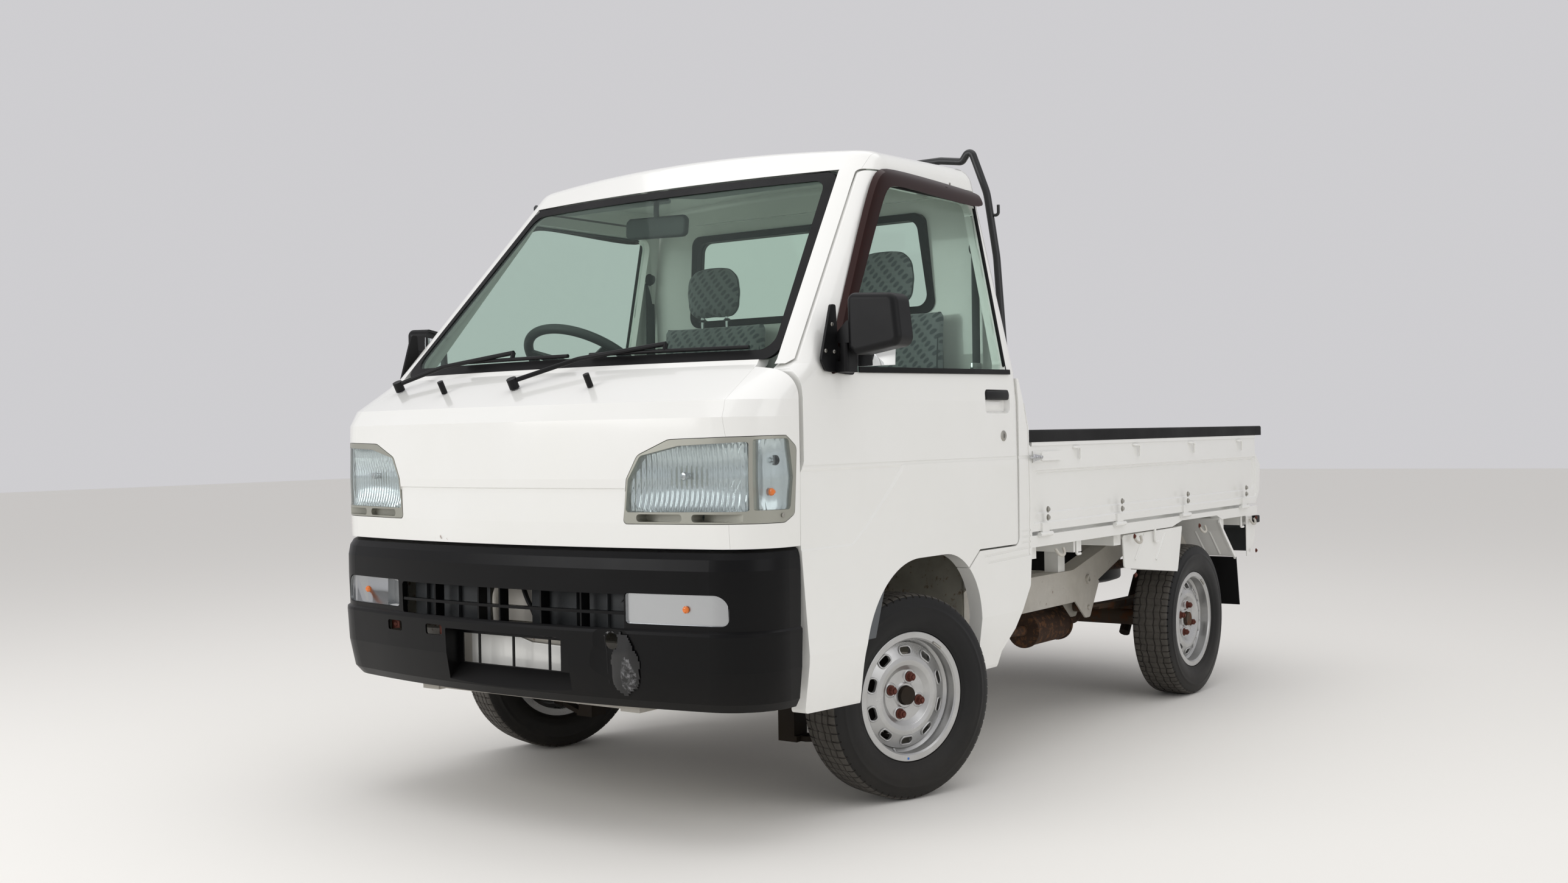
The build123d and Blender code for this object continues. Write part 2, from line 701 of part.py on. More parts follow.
def build_spring_brackets():
    """The left spring's front hanger and rear shackle, as pairs of plates with a pin."""
    eye = SPRING_EYE_Z
    front = SPRING_FRONT_EYE
    rear = SPRING_REAR_EYE
    hanger = (
        (front - 105, 375, 0.0),
        (front - 22, eye - 34, 14.0),
        (front + 14, eye - 34, 14.0),
        (front + 92, 425, 0.0),
        (front + 60, 455, 0.0),
        (front - 60, 400, 0.0),
    )
    shackle = (
        (rear - 18, eye - 20, 10.0),
        (rear + 18, eye - 20, 10.0),
        (rear + 24, 505, 0.0),
        (rear - 24, 505, 0.0),
    )
    plates = None
    inner = SPRING_X - SPRING_WIDTH / 2 - 2 * FIT
    outer = SPRING_X + SPRING_WIDTH / 2 + 2 * FIT
    for rows in (hanger, shackle):
        for low, high in ((inner - BRACKET_PLATE, inner), (outer, outer + BRACKET_PLATE)):
            plate = from_side(rows, low, high)
            plates = plate if plates is None else plates + plate
    for y in (front, rear):
        plates += rod((inner - 10, y, eye), (outer + 12, y, eye), PIN_RADIUS)
    ring = rod((499, front - 5, 440), (508, front - 5, 440), 16)
    return plates + (ring - rod((490, front - 5, 440), (520, front - 5, 440), 8))


def wheel_profile(rows):
    """A ring about the X axis from rows of (across, radius, corner radius)."""
    return revolve(outline(rows), Axis.X)


def build_tyre():
    """A tyre about the X axis, centred on the origin."""
    half = TYRE_WIDTH / 2
    side = TYRE_RADIUS - RIM_RADIUS
    rows = (
        (-51, BEAD_RADIUS, 4.0),
        (51, BEAD_RADIUS, 4.0),
        (51, RIM_RADIUS + 2, 0.0),
        (half, RIM_RADIUS + 0.32 * side, 0.2 * side),
        (half, RIM_RADIUS + 0.63 * side, 0.2 * side),
        (half - 12, TYRE_RADIUS, 0.1 * side),
        (-half + 12, TYRE_RADIUS, 0.1 * side),
        (-half, RIM_RADIUS + 0.63 * side, 0.2 * side),
        (-half, RIM_RADIUS + 0.32 * side, 0.2 * side),
        (-51, RIM_RADIUS + 2, 0.0),
    )
    return wheel_profile(rows)


VENT_COUNT = 10
VENT_RADIUS = 118.0


def build_rim(vented=True):
    """A pressed steel wheel about the X axis, its outer face towards +X."""
    half = RIM_WIDTH / 2
    barrel = (
        (-half, RIM_RADIUS, 0.0),
        (-half, 149, 0.0),
        (-22, 149, 0.0),
        (-12, 138, 0.0),
        (14, 138, 0.0),
        (24, 149, 0.0),
        (half - 4, 149, 0.0),
        (half, 153, 0.0),
        (half, RIM_RADIUS, 2.0),
        (51.5, RIM_RADIUS, 0.0),
        (51.5, BEAD_RADIUS - 0.3, 0.0),
        (-51.5, BEAD_RADIUS - 0.3, 0.0),
        (-51.5, RIM_RADIUS, 0.0),
    )
    disc = (
        (20, 26, 0.0),
        (29, 26, 0.0),
        (29, 31, 0.0),
        (25, 35, 0.0),
        (25, 66, 0.0),
        (35, 80, 6.0),
        (38, 92, 6.0),
        (36, 103, 5.0),
        (20, 138.5, 0.0),
        (8, 138.5, 0.0),
        (15, 133, 0.0),
        (30, 101, 0.0),
        (32, 92, 0.0),
        (20, 70, 0.0),
    )
    rim = wheel_profile(barrel) + wheel_profile(disc)
    if not vented:
        return rim
    slot = Rot(0, 90, 0) * extrude(SlotOverall(36, 20, rotation=90), 80)
    for index in range(VENT_COUNT):
        rim -= Rot(index * 360 / VENT_COUNT, 0, 0) * Pos(0, 0, VENT_RADIUS) * slot
    return rim


def place_wheel(shape, x, y, side):
    """A wheel piece moved to its hub and turned to face outwards."""
    if side < 0:
        shape = other_side(shape)
    return Pos(side * x, y, TYRE_RADIUS) * shape


def steered(shape, side):
    """A front wheel piece turned about its king pin to the parked angle."""
    pin = Pos(side * KINGPIN_X, FRONT_AXLE, 0)
    return pin * Rot(0, 0, STEER_AT_REST) * pin.inverse() * shape


# How far above and below the hub the two suspension arms lie.
ARM_OFFSET = 125.0
ARM_HALF = 7.0


def build_knuckle():
    """The left upright with its spindle and brake drum, wheels straight ahead."""
    x, y, z = KINGPIN_X, FRONT_AXLE, TYRE_RADIUS
    reach = ARM_OFFSET - ARM_HALF
    upright = rod((x, y, z - reach + 10), (x, y, z + reach - 8), 13)
    drum = rod((x + 4, y, z), (FRONT_HUB_X + 2, y, z), 98)
    spindle = rod((x, y, z), (FRONT_HUB_X + 40, y, z), 24)
    return upright + drum + spindle


def build_front_suspension():
    """Upper and lower arms with their mounts on the rails, of the left side."""
    arms = []
    low, high = TYRE_RADIUS - ARM_OFFSET, TYRE_RADIUS + ARM_OFFSET
    for height, inner_x in ((low, 392.0), (high, WHEEL_HOUSE_WALL)):
        plan = (
            (inner_x, FRONT_AXLE - 120, 8.0),
            (inner_x + 24, FRONT_AXLE - 120, 8.0),
            (KINGPIN_X - 50, FRONT_AXLE - 42, 20.0),
            (KINGPIN_X + 20, FRONT_AXLE - 12, 10.0),
            (KINGPIN_X + 20, FRONT_AXLE + 12, 10.0),
            (KINGPIN_X - 50, FRONT_AXLE + 42, 20.0),
            (inner_x + 24, FRONT_AXLE + 120, 8.0),
            (inner_x, FRONT_AXLE + 120, 8.0),
        )
        hole = (
            (inner_x + 22, FRONT_AXLE - 85, 5.0),
            (KINGPIN_X - 25, FRONT_AXLE - 6, 5.0),
            (KINGPIN_X - 25, FRONT_AXLE + 6, 5.0),
            (inner_x + 22, FRONT_AXLE + 85, 5.0),
        )
        arm = from_above(plan, height - ARM_HALF, height + ARM_HALF)
        arms.append(arm - from_above(hole, 0, 500))
    lower, upper = arms
    for y in (FRONT_AXLE - 110, FRONT_AXLE + 110):
        lower += block((340, 392), (y - 30, y + 30), (low + 7, RAIL_BOTTOM - FIT))
        lower += block((340, 400), (y - 30, y + 30), (low - 7, low + 9))
    return [lower, upper]


def build_rear_axle():
    """Live axle with its differential, drums and spring seats."""
    y = REAR_AXLE
    hub_x = REAR_HUB_X
    z = TYRE_RADIUS
    axle = rod((-hub_x, y, z), (hub_x, y, z), 34)
    axle += Pos(0, y, z) * Sphere(92)
    axle += rod((0, y - 150, z), (0, y, z), 48)
    seat_half = SPRING_WIDTH / 2 + 2
    for side in (1, -1):
        axle += rod((side * (hub_x - 60), y, z), (side * (hub_x + 2), y, z), 98)
        axle += rod((side * hub_x, y, z), (side * (hub_x + 40), y, z), 24)
        limits = sorted((side * (SPRING_X - seat_half), side * (SPRING_X + seat_half)))
        axle += block(limits, (y - 55, y + 55), (z + 30, SPRING_SEAT))
    return axle


# Columns: front end, rear end, distance of the leaf's middle below the main leaf.
LEAVES = (
    (SPRING_FRONT_EYE, SPRING_REAR_EYE, 0.0),
    (SPRING_FRONT_EYE + 100, SPRING_REAR_EYE - 100, LEAF_STEP),
    (SPRING_FRONT_EYE + 220, SPRING_REAR_EYE - 230, 2 * LEAF_STEP),
)


def build_leaf_springs():
    """A leaf pack over the axle on each side, its bored eyes on the bracket pins."""
    length = SPRING_REAR_EYE - SPRING_FRONT_EYE
    half_width = SPRING_WIDTH / 2
    pack = None
    for y_front, y_back, drop in LEAVES:
        half = (y_back - y_front) / 2
        rise = SPRING_RISE * (2 * half / length) ** 2
        base = SPRING_SEAT + FIT + 2.5 * LEAF_STEP - drop
        middle = (0, y_front + half, base)
        path = ThreePointArc((0, y_front, base + rise), middle, (0, y_back, base + rise))
        plane = Plane(path @ 0, z_dir=path % 0, x_dir=(1, 0, 0))
        leaf = sweep(plane * Rectangle(SPRING_WIDTH, LEAF_STEP + 0.2), path=path)
        pack = leaf if pack is None else pack + leaf
    for y in (SPRING_FRONT_EYE, SPRING_REAR_EYE):
        pack += rod((-half_width, y, SPRING_EYE_Z), (half_width, y, SPRING_EYE_Z), EYE_RADIUS)
        bore = PIN_RADIUS + FIT
        pack -= rod((-half_width - 1, y, SPRING_EYE_Z), (half_width + 1, y, SPRING_EYE_Z), bore)
    left = Pos(SPRING_X, 0, 0) * pack
    return both(left)


def build_engine():
    """Engine and gearbox as plain blocks under the seats."""
    engine = block((-180, 180), (900, 1300), (300, 620))
    engine += block((-95, 95), (1300, 1540), (310, 470))
    return fillet(engine.edges().filter_by(Axis.Z), 25)


def build_propshaft():
    """The shaft from gearbox to rear axle, with a joint cup at each end."""
    start = Vector(0, 1544, 385)
    end = Vector(0, REAR_AXLE - 156, TYRE_RADIUS)
    along = (end - start).normalized()
    shaft = rod(start, end, 28)
    shaft += rod(start, start + along * 45, 36)
    return shaft + rod(end - along * 45, end, 36)


def build_exhaust():
    """Muffler with rolled end seams, its front pipe and its tail pipe."""
    muffler = rod((350, 2105, 275), (350, 2370, 275), 56)
    for y in (2105, 2358):
        muffler += rod((350, y, 275), (350, y + 12, 275), 60)
    front = pipe([(200, 1320, 330), (350, 1700, 300), (350, 2106, 275)], 60, 17)
    tail = [(350, 2369, 275), (350, 2520, 275), (350, 2640, 440), (350, LENGTH - 155, 440)]
    return muffler + front + pipe(tail, 60, 17)


def build_fuel_tank():
    """Flat steel tank between the rails, with its welded waist seam."""
    tank = fillet(block((-420, -120), (1700, 2100), (300, 415)).edges(), 18)
    return tank + block((-430, -110), (1690, 2110), (354, 360))


def build_spare_wheel():
    """A spare wheel carried flat under the rear of the bed."""
    wheel = build_tyre() + build_rim(vented=False)
    return Pos(0, REAR_AXLE + 305, 428) * Rot(0, 90, 0) * wheel


# The bumper's face in level cuts. Columns: height, foremost point, half width.
BUMPER_LEVELS = (
    (326.0, 34.0, HALF_WIDTH - 22.0),
    (346.0, 18.0, HALF_WIDTH - 11.0),
    (420.0, 4.0, HALF_WIDTH - 3.0),
    (502.0, 0.0, HALF_WIDTH),
    (509.0, 1.0, HALF_WIDTH),
    (514.0, 7.0, HALF_WIDTH - 5.0),
    (600.0, 5.0, HALF_WIDTH - 3.0),
    (650.0, 5.0, HALF_WIDTH - 3.0),
    (676.0, 10.0, HALF_WIDTH - 5.0),
    (691.0, 20.0, HALF_WIDTH - 9.0),
    (BUMPER_TOP, 32.0, HALF_WIDTH - 16.0),
)
BUMPER_CORNER = 150.0
BUMPER_FLANGE = 40.0

# The grille slot: left and right ends, bottom and top, then its bar and slats.
SLOT = ((360.0 - HALF_WIDTH, HALF_WIDTH - 343.0), (513.0, 593.0))
SLOT_BAR = (545.0, 552.0)
SLATS = (-240.0, -73.0, 3.0, 140.0, 264.0)
SLAT_THICKNESS = 5.0
BRACKET_HOLES = ((-440.0, -377.0), (-272.0, -206.0))

# The hollow below the slot: outline from the front, then its section from the side.
HOLLOW_FRONT = ((-192.0, 330.0, 0.0), (228.0, 330.0, 0.0), (228.0, 484.0, 40.0), (-192.0, 484.0, 4.0))
HOLLOW_SIDE = ((-60.0, 347.0), (16.0, 347.0), (55.0, 392.0), (55.0, 474.0), (16.0, 484.0), (-60.0, 484.0))
HOLLOW_BARS = ((-178.0, -123.0), (-117.0, -2.0), (4.0, 122.0), (128.0, 163.0))
HOLLOW_WINDOW = (394.0, 468.0)

BUMPER_LAMP = (
    (HALF_WIDTH - 343, 525.0, 8.0),
    (HALF_WIDTH - 79, 525.0, 16.0),
    (HALF_WIDTH - 79, 597.0, 34.0),
    (HALF_WIDTH - 343, 597.0, 6.0),
)
BUMPER_LAMP_DEPTH = 34.0

# Dents in the bumper's left half. Columns: across, height, radius, depth.
DENTS = ((386.0, 470.0, 260.0, 4.0), (400.0, 410.0, 420.0, 4.5))


def bumper_solid(inset, top):
    """The bumper's outer form drawn in by an inset, up to a height."""
    faces = []
    for z, nose, half in BUMPER_LEVELS:
        level = (min(z, top), nose, half, BUMPER_CORNER, 1300.0)
        if z <= top:
            faces.append(cab_level(level, inset))
    return loft(faces, ruled=True)


def build_bumper():
    """The moulded bumper: thin skin, barred slot, sunk lower hollow and lamp holes."""
    outer = bumper_solid(0.0, BUMPER_TOP)
    bumper = outer - bumper_solid(BUMPER_SKIN, BUMPER_LEVELS[-2][0])
    low, high = BUMPER_LEVELS[-3][0], BUMPER_TOP + 30
    lid_hole = [cab_level((z, 20.0, HALF_WIDTH, BUMPER_CORNER, 1300.0), BUMPER_FLANGE) for z in (low, high)]
    bumper -= loft(lid_hole, ruled=True)
    (slot_left, slot_right), (slot_low, slot_high) = SLOT
    slot = ((slot_left, slot_low, 6.0), (slot_right, slot_low, 6.0))
    slot += ((slot_right, slot_high, 6.0), (slot_left, slot_high, 10.0))
    bumper -= from_front(slot, -100, 200)
    for left, right in BRACKET_HOLES:
        hole = ((left, 464, 6.0), (right, 464, 6.0), (right, 490, 6.0), (left, 490, 6.0))
        bumper -= from_front(hole, -100, 200)
    lamp = from_front(BUMPER_LAMP, -100, 300)
    bumper -= lamp + other_side(lamp)
    hollow = from_front(HOLLOW_FRONT, -100, 200) & from_side(sharp(HOLLOW_SIDE), -300, 300)
    liner = block((-196, 232), (5, 59), (341, 489)) & outer
    bumper = (bumper + liner) - hollow
    for left, right in HOLLOW_BARS:
        bumper -= block((left, right), (40, 90), HOLLOW_WINDOW)
    for x, z, radius, depth in DENTS:
        bumper -= Pos(x, bow(x) + 1 + depth - radius, z) * Sphere(radius)
    bumper += build_slot_bars()
    return bumper - block((-900, 900), (DOOR_FRONT - SHUT_GAP, 1500), (200, 800))


def build_slot_bars():
    """The bowed bar and the upright slats set back in the grille slot."""
    (left, right), (low, high) = SLOT
    bar_zone = block((left - 6, right - 2), (-50, 300), SLOT_BAR)
    face = cab_level((SLOT_BAR[0], 8.0, HALF_WIDTH, BUMPER_CORNER, 1300.0), 0.0)
    ring = extrude(face, SLOT_BAR[1] - SLOT_BAR[0])
    core = cab_level((SLOT_BAR[0] - 1, 8.0, HALF_WIDTH, BUMPER_CORNER, 1300.0), 16.0)
    bars = (ring - extrude(core, SLOT_BAR[1] - SLOT_BAR[0] + 2)) & bar_zone
    for x in SLATS:
        y = bow(x) + 8
        half = SLAT_THICKNESS / 2
        bars += block((x - half, x + half), (y + 1, y + 30), (low - 9, high + 6))
        bars += block((x - half, x + half), (y - 1, y + 6), (low - 9, low - 2))
        bars += block((x - half, x + half), (y - 1, y + 6), (high + 2, high + 8))
    for x in (left - 3, right - 3):
        y = bow(x) + 8
        bars += block((x - 3, x + 3), (y + 1, y + 14), (low - 9, high + 6))
        bars += block((x - 3, x + 3), (y - 4, y + 6), (low - 9, low - 2))
    return bars


def build_bumper_lamp():
    """The left bumper lamp: its clear cover and the body behind it."""
    solids = []
    for inset in (2.0, 2.0 + LENS_SKIN, BUMPER_LAMP_DEPTH):
        face = cab_level((500.0, 5.0, HALF_WIDTH - 3, BUMPER_CORNER, 1300.0), inset)
        solids.append(extrude(face, 120))
    front, middle, rear = solids
    zone = from_front(inward(BUMPER_LAMP, 1.0), -100, 300)
    return [(front - middle) & zone, (middle - rear) & zone]


def build_dashboard():
    """The full-width dashboard with the instrument hood ahead of the driver."""
    rows = (
        (280, 1085, 20.0),
        (520, 1095, 30.0),
        (560, 1040, 25.0),
        (545, 870, 30.0),
        (430, 790, 40.0),
        (280, 790, 20.0),
    )
    hood = (
        (430, 1060, 0.0),
        (440, 1128, 16.0),
        (540, 1140, 14.0),
        (572, 1112, 6.0),
        (556, 1050, 0.0),
    )
    dash = from_side(rows, -HALF_WIDTH, HALF_WIDTH) & cab_solid(WALL + 8.0, 40.0)
    binnacle = from_side(hood, -SEAT_X - 150, -SEAT_X + 150)
    binnacle -= from_side(sharp(((548, 1064), (580, 1064), (580, 1124), (560, 1124))), -SEAT_X - 135, -SEAT_X + 135)
    shelf = block((60, HALF_WIDTH - 140), (520, 600), (930, 1010))
    dash = (dash + binnacle) - shelf
    return dash - steering_axis_rod(52.0, -700.0, -20.0)


WHEEL_CENTRE = (-SEAT_X, 690.0, 1165.0)
COLUMN_LEAN = 35.0


def steering_axis_rod(radius, start, end):
    """A bar on the steering column's axis, measured from the steering wheel's centre."""
    lean = math.radians(COLUMN_LEAN)
    x, y, z = WHEEL_CENTRE
    ends = [(x, y + d * math.sin(lean), z + d * math.cos(lean)) for d in (start, end)]
    return rod(ends[0], ends[1], radius)


# Columns: pedal's middle across, pad half width.
PEDALS = ((-SEAT_X - 95.0, 27.0), (-SEAT_X + 45.0, 27.0), (-SEAT_X + 120.0, 20.0))


def build_column():
    """The steering column with its shroud and stalks, and the pedals hung beside it."""
    column = steering_axis_rod(19.0, -840.0, -30.0) + steering_axis_rod(42.0, -230.0, -52.0)
    x, y, z = WHEEL_CENTRE
    lean = math.radians(COLUMN_LEAN)
    stalk_y, stalk_z = y - 75 * math.sin(lean), z - 75 * math.cos(lean)
    column += rod((x - 170, stalk_y, stalk_z + 6), (x + 170, stalk_y, stalk_z + 6), 5)
    pieces = [column]
    for pedal_x, half in PEDALS:
        arm = pipe([(pedal_x, 400, 780), (pedal_x, 380, 640), (pedal_x, 318, 540)], 40, 6)
        pad = Pos(pedal_x, 318, 530) * Rot(25, 0, 0) * Box(2 * half, 12, 60)
        pieces.append(arm + pad)
    return pieces


def build_steering_wheel():
    """Rim, hub and three spokes."""
    wheel = Torus(183, 14) + Pos(0, 0, -12) * Cylinder(44, 30)
    for angle in (90, 210, 330):
        spoke = Pos(110, 0, -6) * Box(150, 30, 9)
        wheel += Rot(0, 0, angle) * spoke
    return Pos(*WHEEL_CENTRE) * Rot(-COLUMN_LEAN, 0, 0) * wheel


def build_seat(part):
    """One of the left seat's two soft pieces."""
    centre = SEAT_X
    if part == "cushion":
        rows = ((865, 700, 25.0), (1290, 680, 20.0), (1290, 796, 20.0), (865, 850, 45.0))
        return from_side(rows, centre - 235, centre + 235)
    rows = ((1240, 810, 25.0), (1312, 800, 20.0), (1325, 1330, 28.0), (1268, 1330, 28.0))
    back = from_side(rows, centre - 225, centre + 225)
    rest = ((1268, 1345, 25.0), (1322, 1345, 20.0), (1322, 1505, 25.0), (1275, 1505, 22.0))
    head = from_side(rest, centre - 113, centre + 113)
    posts = rod((centre - 50, 1298, 1328), (centre - 50, 1298, 1347), 6)
    posts += rod((centre + 50, 1298, 1328), (centre + 50, 1298, 1347), 6)
    return back + head + posts


def build_seat_bases():
    """The steel frames that carry the seat cushions."""
    base = block((SEAT_X - 215, SEAT_X + 215), (910, 1280), (DECK_TOP, 679))
    return both(base)


FLOOR_PLATE = 18.0
RAIL_TOP = 648.0
# Columns: middle of the bearer.
BEARERS = (1500.0, 1810.0, 2110.0, REAR_AXLE - 300, REAR_AXLE + 310, LENGTH - 105)
FLOOR_RIBS = (75.0, 225.0, 375.0, 525.0)
RIB_WIDTH = 46.0
RIB_DEPTH = 3.0

# The side rail below the gate, its lower edge raised over the rear wheel.
SIDE_RAIL = (
    (GATE_FRONT, 614.0, 4.0),
    (REAR_AXLE - 243, 614.0, 20.0),
    (REAR_AXLE - 151, 631.0, 20.0),
    (REAR_AXLE + 182, 631.0, 20.0),
    (REAR_AXLE + 240, 614.0, 20.0),
    (BED_BACK, 614.0, 4.0),
    (BED_BACK, RAIL_TOP, 0.0),
    (GATE_FRONT, RAIL_TOP, 0.0),
)
# Columns: distance back of each rope hook under the rail, and how far out it hangs.
RAIL_HOOKS = ((1760.0, 14.0), (REAR_AXLE - 393, 3.0), (REAR_AXLE + 466, 14.0))


def build_bed_floor():
    """Ribbed floor plate on cross bearers, with a side rail and its rope hooks."""
    low = BED_FLOOR_TOP - FLOOR_PLATE
    floor = block((-BED_HALF, BED_HALF), (HEADBOARD_BACK, BED_BACK), (low, BED_FLOOR_TOP))
    for y in BEARERS:
        floor += block((-BED_HALF, BED_HALF), (y - 28, y + 28), (575, low + 1))
    rail = from_side(SIDE_RAIL, BED_HALF - 1, GATE_OUTER - 2)
    for y, inboard in RAIL_HOOKS:
        x = GATE_OUTER - inboard
        rail += pipe([(x, y, 620), (x, y, 572), (x, y + 26, 572)], 9, 4.5)
    for y in BEARERS[:3]:
        rail += block((SPRING_X - 25, SPRING_X + 25), (y - 25, y + 25), (480.5, 576))
    floor += rail + other_side(rail)
    back = BED_BACK - 30
    for x in FLOOR_RIBS:
        front = HEADBOARD_BACK + 30
        half = RIB_WIDTH / 2
        rows = ((x - half, front, 20.0), (x + half, front, 20.0), (x + half, back, 20.0), (x - half, back, 20.0))
        rib = from_above(rows, BED_FLOOR_TOP - RIB_DEPTH, BED_FLOOR_TOP + 5)
        floor -= rib + other_side(rib)
    return floor


def build_headboard():
    """The front wall of the bed, with a folded top and three pressed fields."""
    low = BED_FLOOR_TOP - FLOOR_PLATE
    half = BED_HALF - 2
    rows = ((-half, low, 0.0), (half, low, 0.0), (half, 940, 20.0), (-half, 940, 20.0))
    board = from_front(rows, HEADBOARD_BACK - 24, HEADBOARD_BACK)
    for middle in (-450.0, 0.0, 450.0):
        field = (
            (middle - 190, 700, 20.0),
            (middle + 190, 700, 20.0),
            (middle + 190, 880, 20.0),
            (middle - 190, 880, 20.0),
        )
        board -= pressed_from_rear(field, HEADBOARD_BACK + 0.01, 7.0, 40.0)
    return board


HORN_RADIUS = 11.0
# The guard's post, horn and top bar on the left. Columns: across from the bed's side,
# height, bend radius.
GUARD_POINTS = (
    (-69.0, 640.0, 0.0),
    (-69.0, 1000.0, 300.0),
    (-100.0, 1469.0, 300.0),
    (-129.0, 1660.0, 150.0),
    (-182.0, 1800.0, 14.0),
    (-211.0, 1762.0, 14.0),
    (-284.0, 1773.0, 60.0),
)


def build_guard_frame():
    """The pipe frame behind the cab, with a raised horn at each top corner."""
    left = [(HALF_WIDTH + dx, GUARD_Y, z) for dx, z, bend in GUARD_POINTS]
    right = [(-x, y, z) for x, y, z in reversed(left)]
    radii = [bend for dx, z, bend in GUARD_POINTS if bend > 0]
    frame = pipe(left + right, radii + radii[::-1], HORN_RADIUS)
    for height, inboard in ((700.0, 69.0), (1270.0, 87.0)):
        half = HALF_WIDTH - inboard
        frame += rod((-half, GUARD_Y, height), (half, GUARD_Y, height), 9)
    for side in (1, -1):
        x = side * (HALF_WIDTH - 118)
        out = side * 26
        hook = pipe([(x, GUARD_Y, 1596), (x + out, GUARD_Y, 1590), (x + out, GUARD_Y, 1622)], 9, 4.5)
        frame += hook
    return frame


# Hinge places along the side gate, and the rope hooks above its crease.
HINGE_PLACES = (1513.0, 2045.0, REAR_AXLE - 135, REAR_AXLE + 454)
GATE_HOOKS = (1750.0, 2204.0, REAR_AXLE - 54, REAR_AXLE + 427)
GATE_BACK = LENGTH - 7.0
HINGE_RADIUS = 7.0
HINGE_HALF = 40.0
HINGE_STRAP_HALF = 22.0
PRESS_FIRST = 4.5
PRESS_SECOND = 5.0


def gate_cut(rows, x_outer, depth):
    """A pressing of the side gate's face with sloping walls."""
    return pressed_from_side(rows, x_outer, depth, 45.0)


def build_side_gate():
    """The left side gate: a stepped pressed panel with hinges, rope hooks and its latch."""
    panel = block((GATE_INNER, GATE_OUTER), (GATE_FRONT, GATE_BACK), (GATE_BOTTOM, GATE_TOP))
    back = GATE_BACK - 58
    first = ((GATE_FRONT + 10, 682, 14.0), (back + 12, 682, 14.0), (back + 12, 840, 14.0), (GATE_FRONT + 10, 840, 14.0))
    second = ((GATE_FRONT + 34, 710, 18.0), (back - 4, 710, 18.0), (back - 4, 833, 18.0), (GATE_FRONT + 34, 833, 18.0))
    panel -= gate_cut(first, GATE_OUTER + 0.01, PRESS_FIRST)
    panel -= gate_cut(second, GATE_OUTER - PRESS_FIRST + 0.5, PRESS_SECOND)
    inside = other_side(gate_cut(second, -GATE_INNER + 0.01, PRESS_SECOND))
    panel -= inside
    corner = ((back + 2, 960), (back + 2, 856), (GATE_BACK + 1, 806), (GATE_BACK + 20, 806), (GATE_BACK + 20, 960))
    panel -= from_side(sharp(corner), GATE_INNER - 5, GATE_OUTER + 5)
    foot = ((GATE_BACK + 1, 790), (GATE_BACK - 12, 705), (GATE_BACK - 44, 672), (GATE_BACK - 60, 650), (GATE_BACK + 20, 650), (GATE_BACK + 20, 790))
    panel -= from_side(sharp(foot), GATE_INNER - 5, GATE_OUTER + 5)
    panel += block((GATE_INNER, GATE_OUTER + 3), (GATE_FRONT, back + 2), (911, GATE_TOP))
    for y in HINGE_PLACES:
        panel += rod((HINGE_X, y - HINGE_HALF, GATE_HINGE_Z), (HINGE_X, y + HINGE_HALF, GATE_HINGE_Z), HINGE_RADIUS)
        strap = (GATE_HINGE_Z, GATE_BOTTOM + 24)
        panel += block((GATE_OUTER - 6, HINGE_X + 2), (y - HINGE_STRAP_HALF, y + HINGE_STRAP_HALF), strap)
    for y in GATE_HOOKS:
        x = GATE_OUTER + 9
        hook = [(GATE_OUTER - 2, y - 36, 903), (x, y - 36, 903), (x, y, 903), (x, y, 866)]
        panel += pipe(hook, 8, 4)
    catch = block((GATE_OUTER - 1, GATE_OUTER + 5), (GATE_FRONT + 3, GATE_FRONT + 62), (862, 896))
    lever = block((GATE_OUTER - 1, GATE_OUTER + 11), (GATE_FRONT + 48, GATE_FRONT + 186), (867, 894))
    lever = fillet(lever.edges().filter_by(Axis.X), 8)
    return panel + catch + lever


def build_gate_seal():
    """The rubber strip along the left side gate's top."""
    strip = block((GATE_INNER - 2, GATE_OUTER + 4), (GATE_FRONT - 15, LENGTH), (GATE_TOP, SEAL_TOP))
    return fillet(strip.edges().filter_by(Axis.Y).group_by(Axis.Z)[-1], 6)


def build_tailgate():
    """The rear gate between the two side gates, pressed like them."""
    half = TAILGATE_HALF
    panel = block((-half, half), (TAILGATE_FRONT, TAILGATE_BACK), (GATE_BOTTOM, GATE_TOP))
    first = ((-half + 30, 682, 14.0), (half - 30, 682, 14.0), (half - 30, 840, 14.0), (-half + 30, 840, 14.0))
    second = ((-half + 54, 710, 18.0), (half - 54, 710, 18.0), (half - 54, 833, 18.0), (-half + 54, 833, 18.0))
    panel -= pressed_from_rear(first, TAILGATE_BACK + 0.01, PRESS_FIRST, 45.0)
    panel -= pressed_from_rear(second, TAILGATE_BACK - PRESS_FIRST + 0.5, PRESS_SECOND, 45.0)
    y = TAILGATE_BACK + 2
    for x in (-520.0, 0.0, 520.0):
        panel += rod((x - HINGE_HALF, y, GATE_HINGE_Z), (x + HINGE_HALF, y, GATE_HINGE_Z), 6)
        panel += block((x - 22, x + 22), (TAILGATE_BACK - 6, y + 2), (GATE_HINGE_Z, GATE_BOTTOM + 24))
    return panel


def build_tailgate_seal():
    """The rubber strip along the tailgate's top."""
    half = TAILGATE_HALF
    strip = block((-half, half), (TAILGATE_FRONT - 2, TAILGATE_BACK + 2), (GATE_TOP, SEAL_TOP))
    return fillet(strip.edges().filter_by(Axis.X).group_by(Axis.Z)[-1], 6)


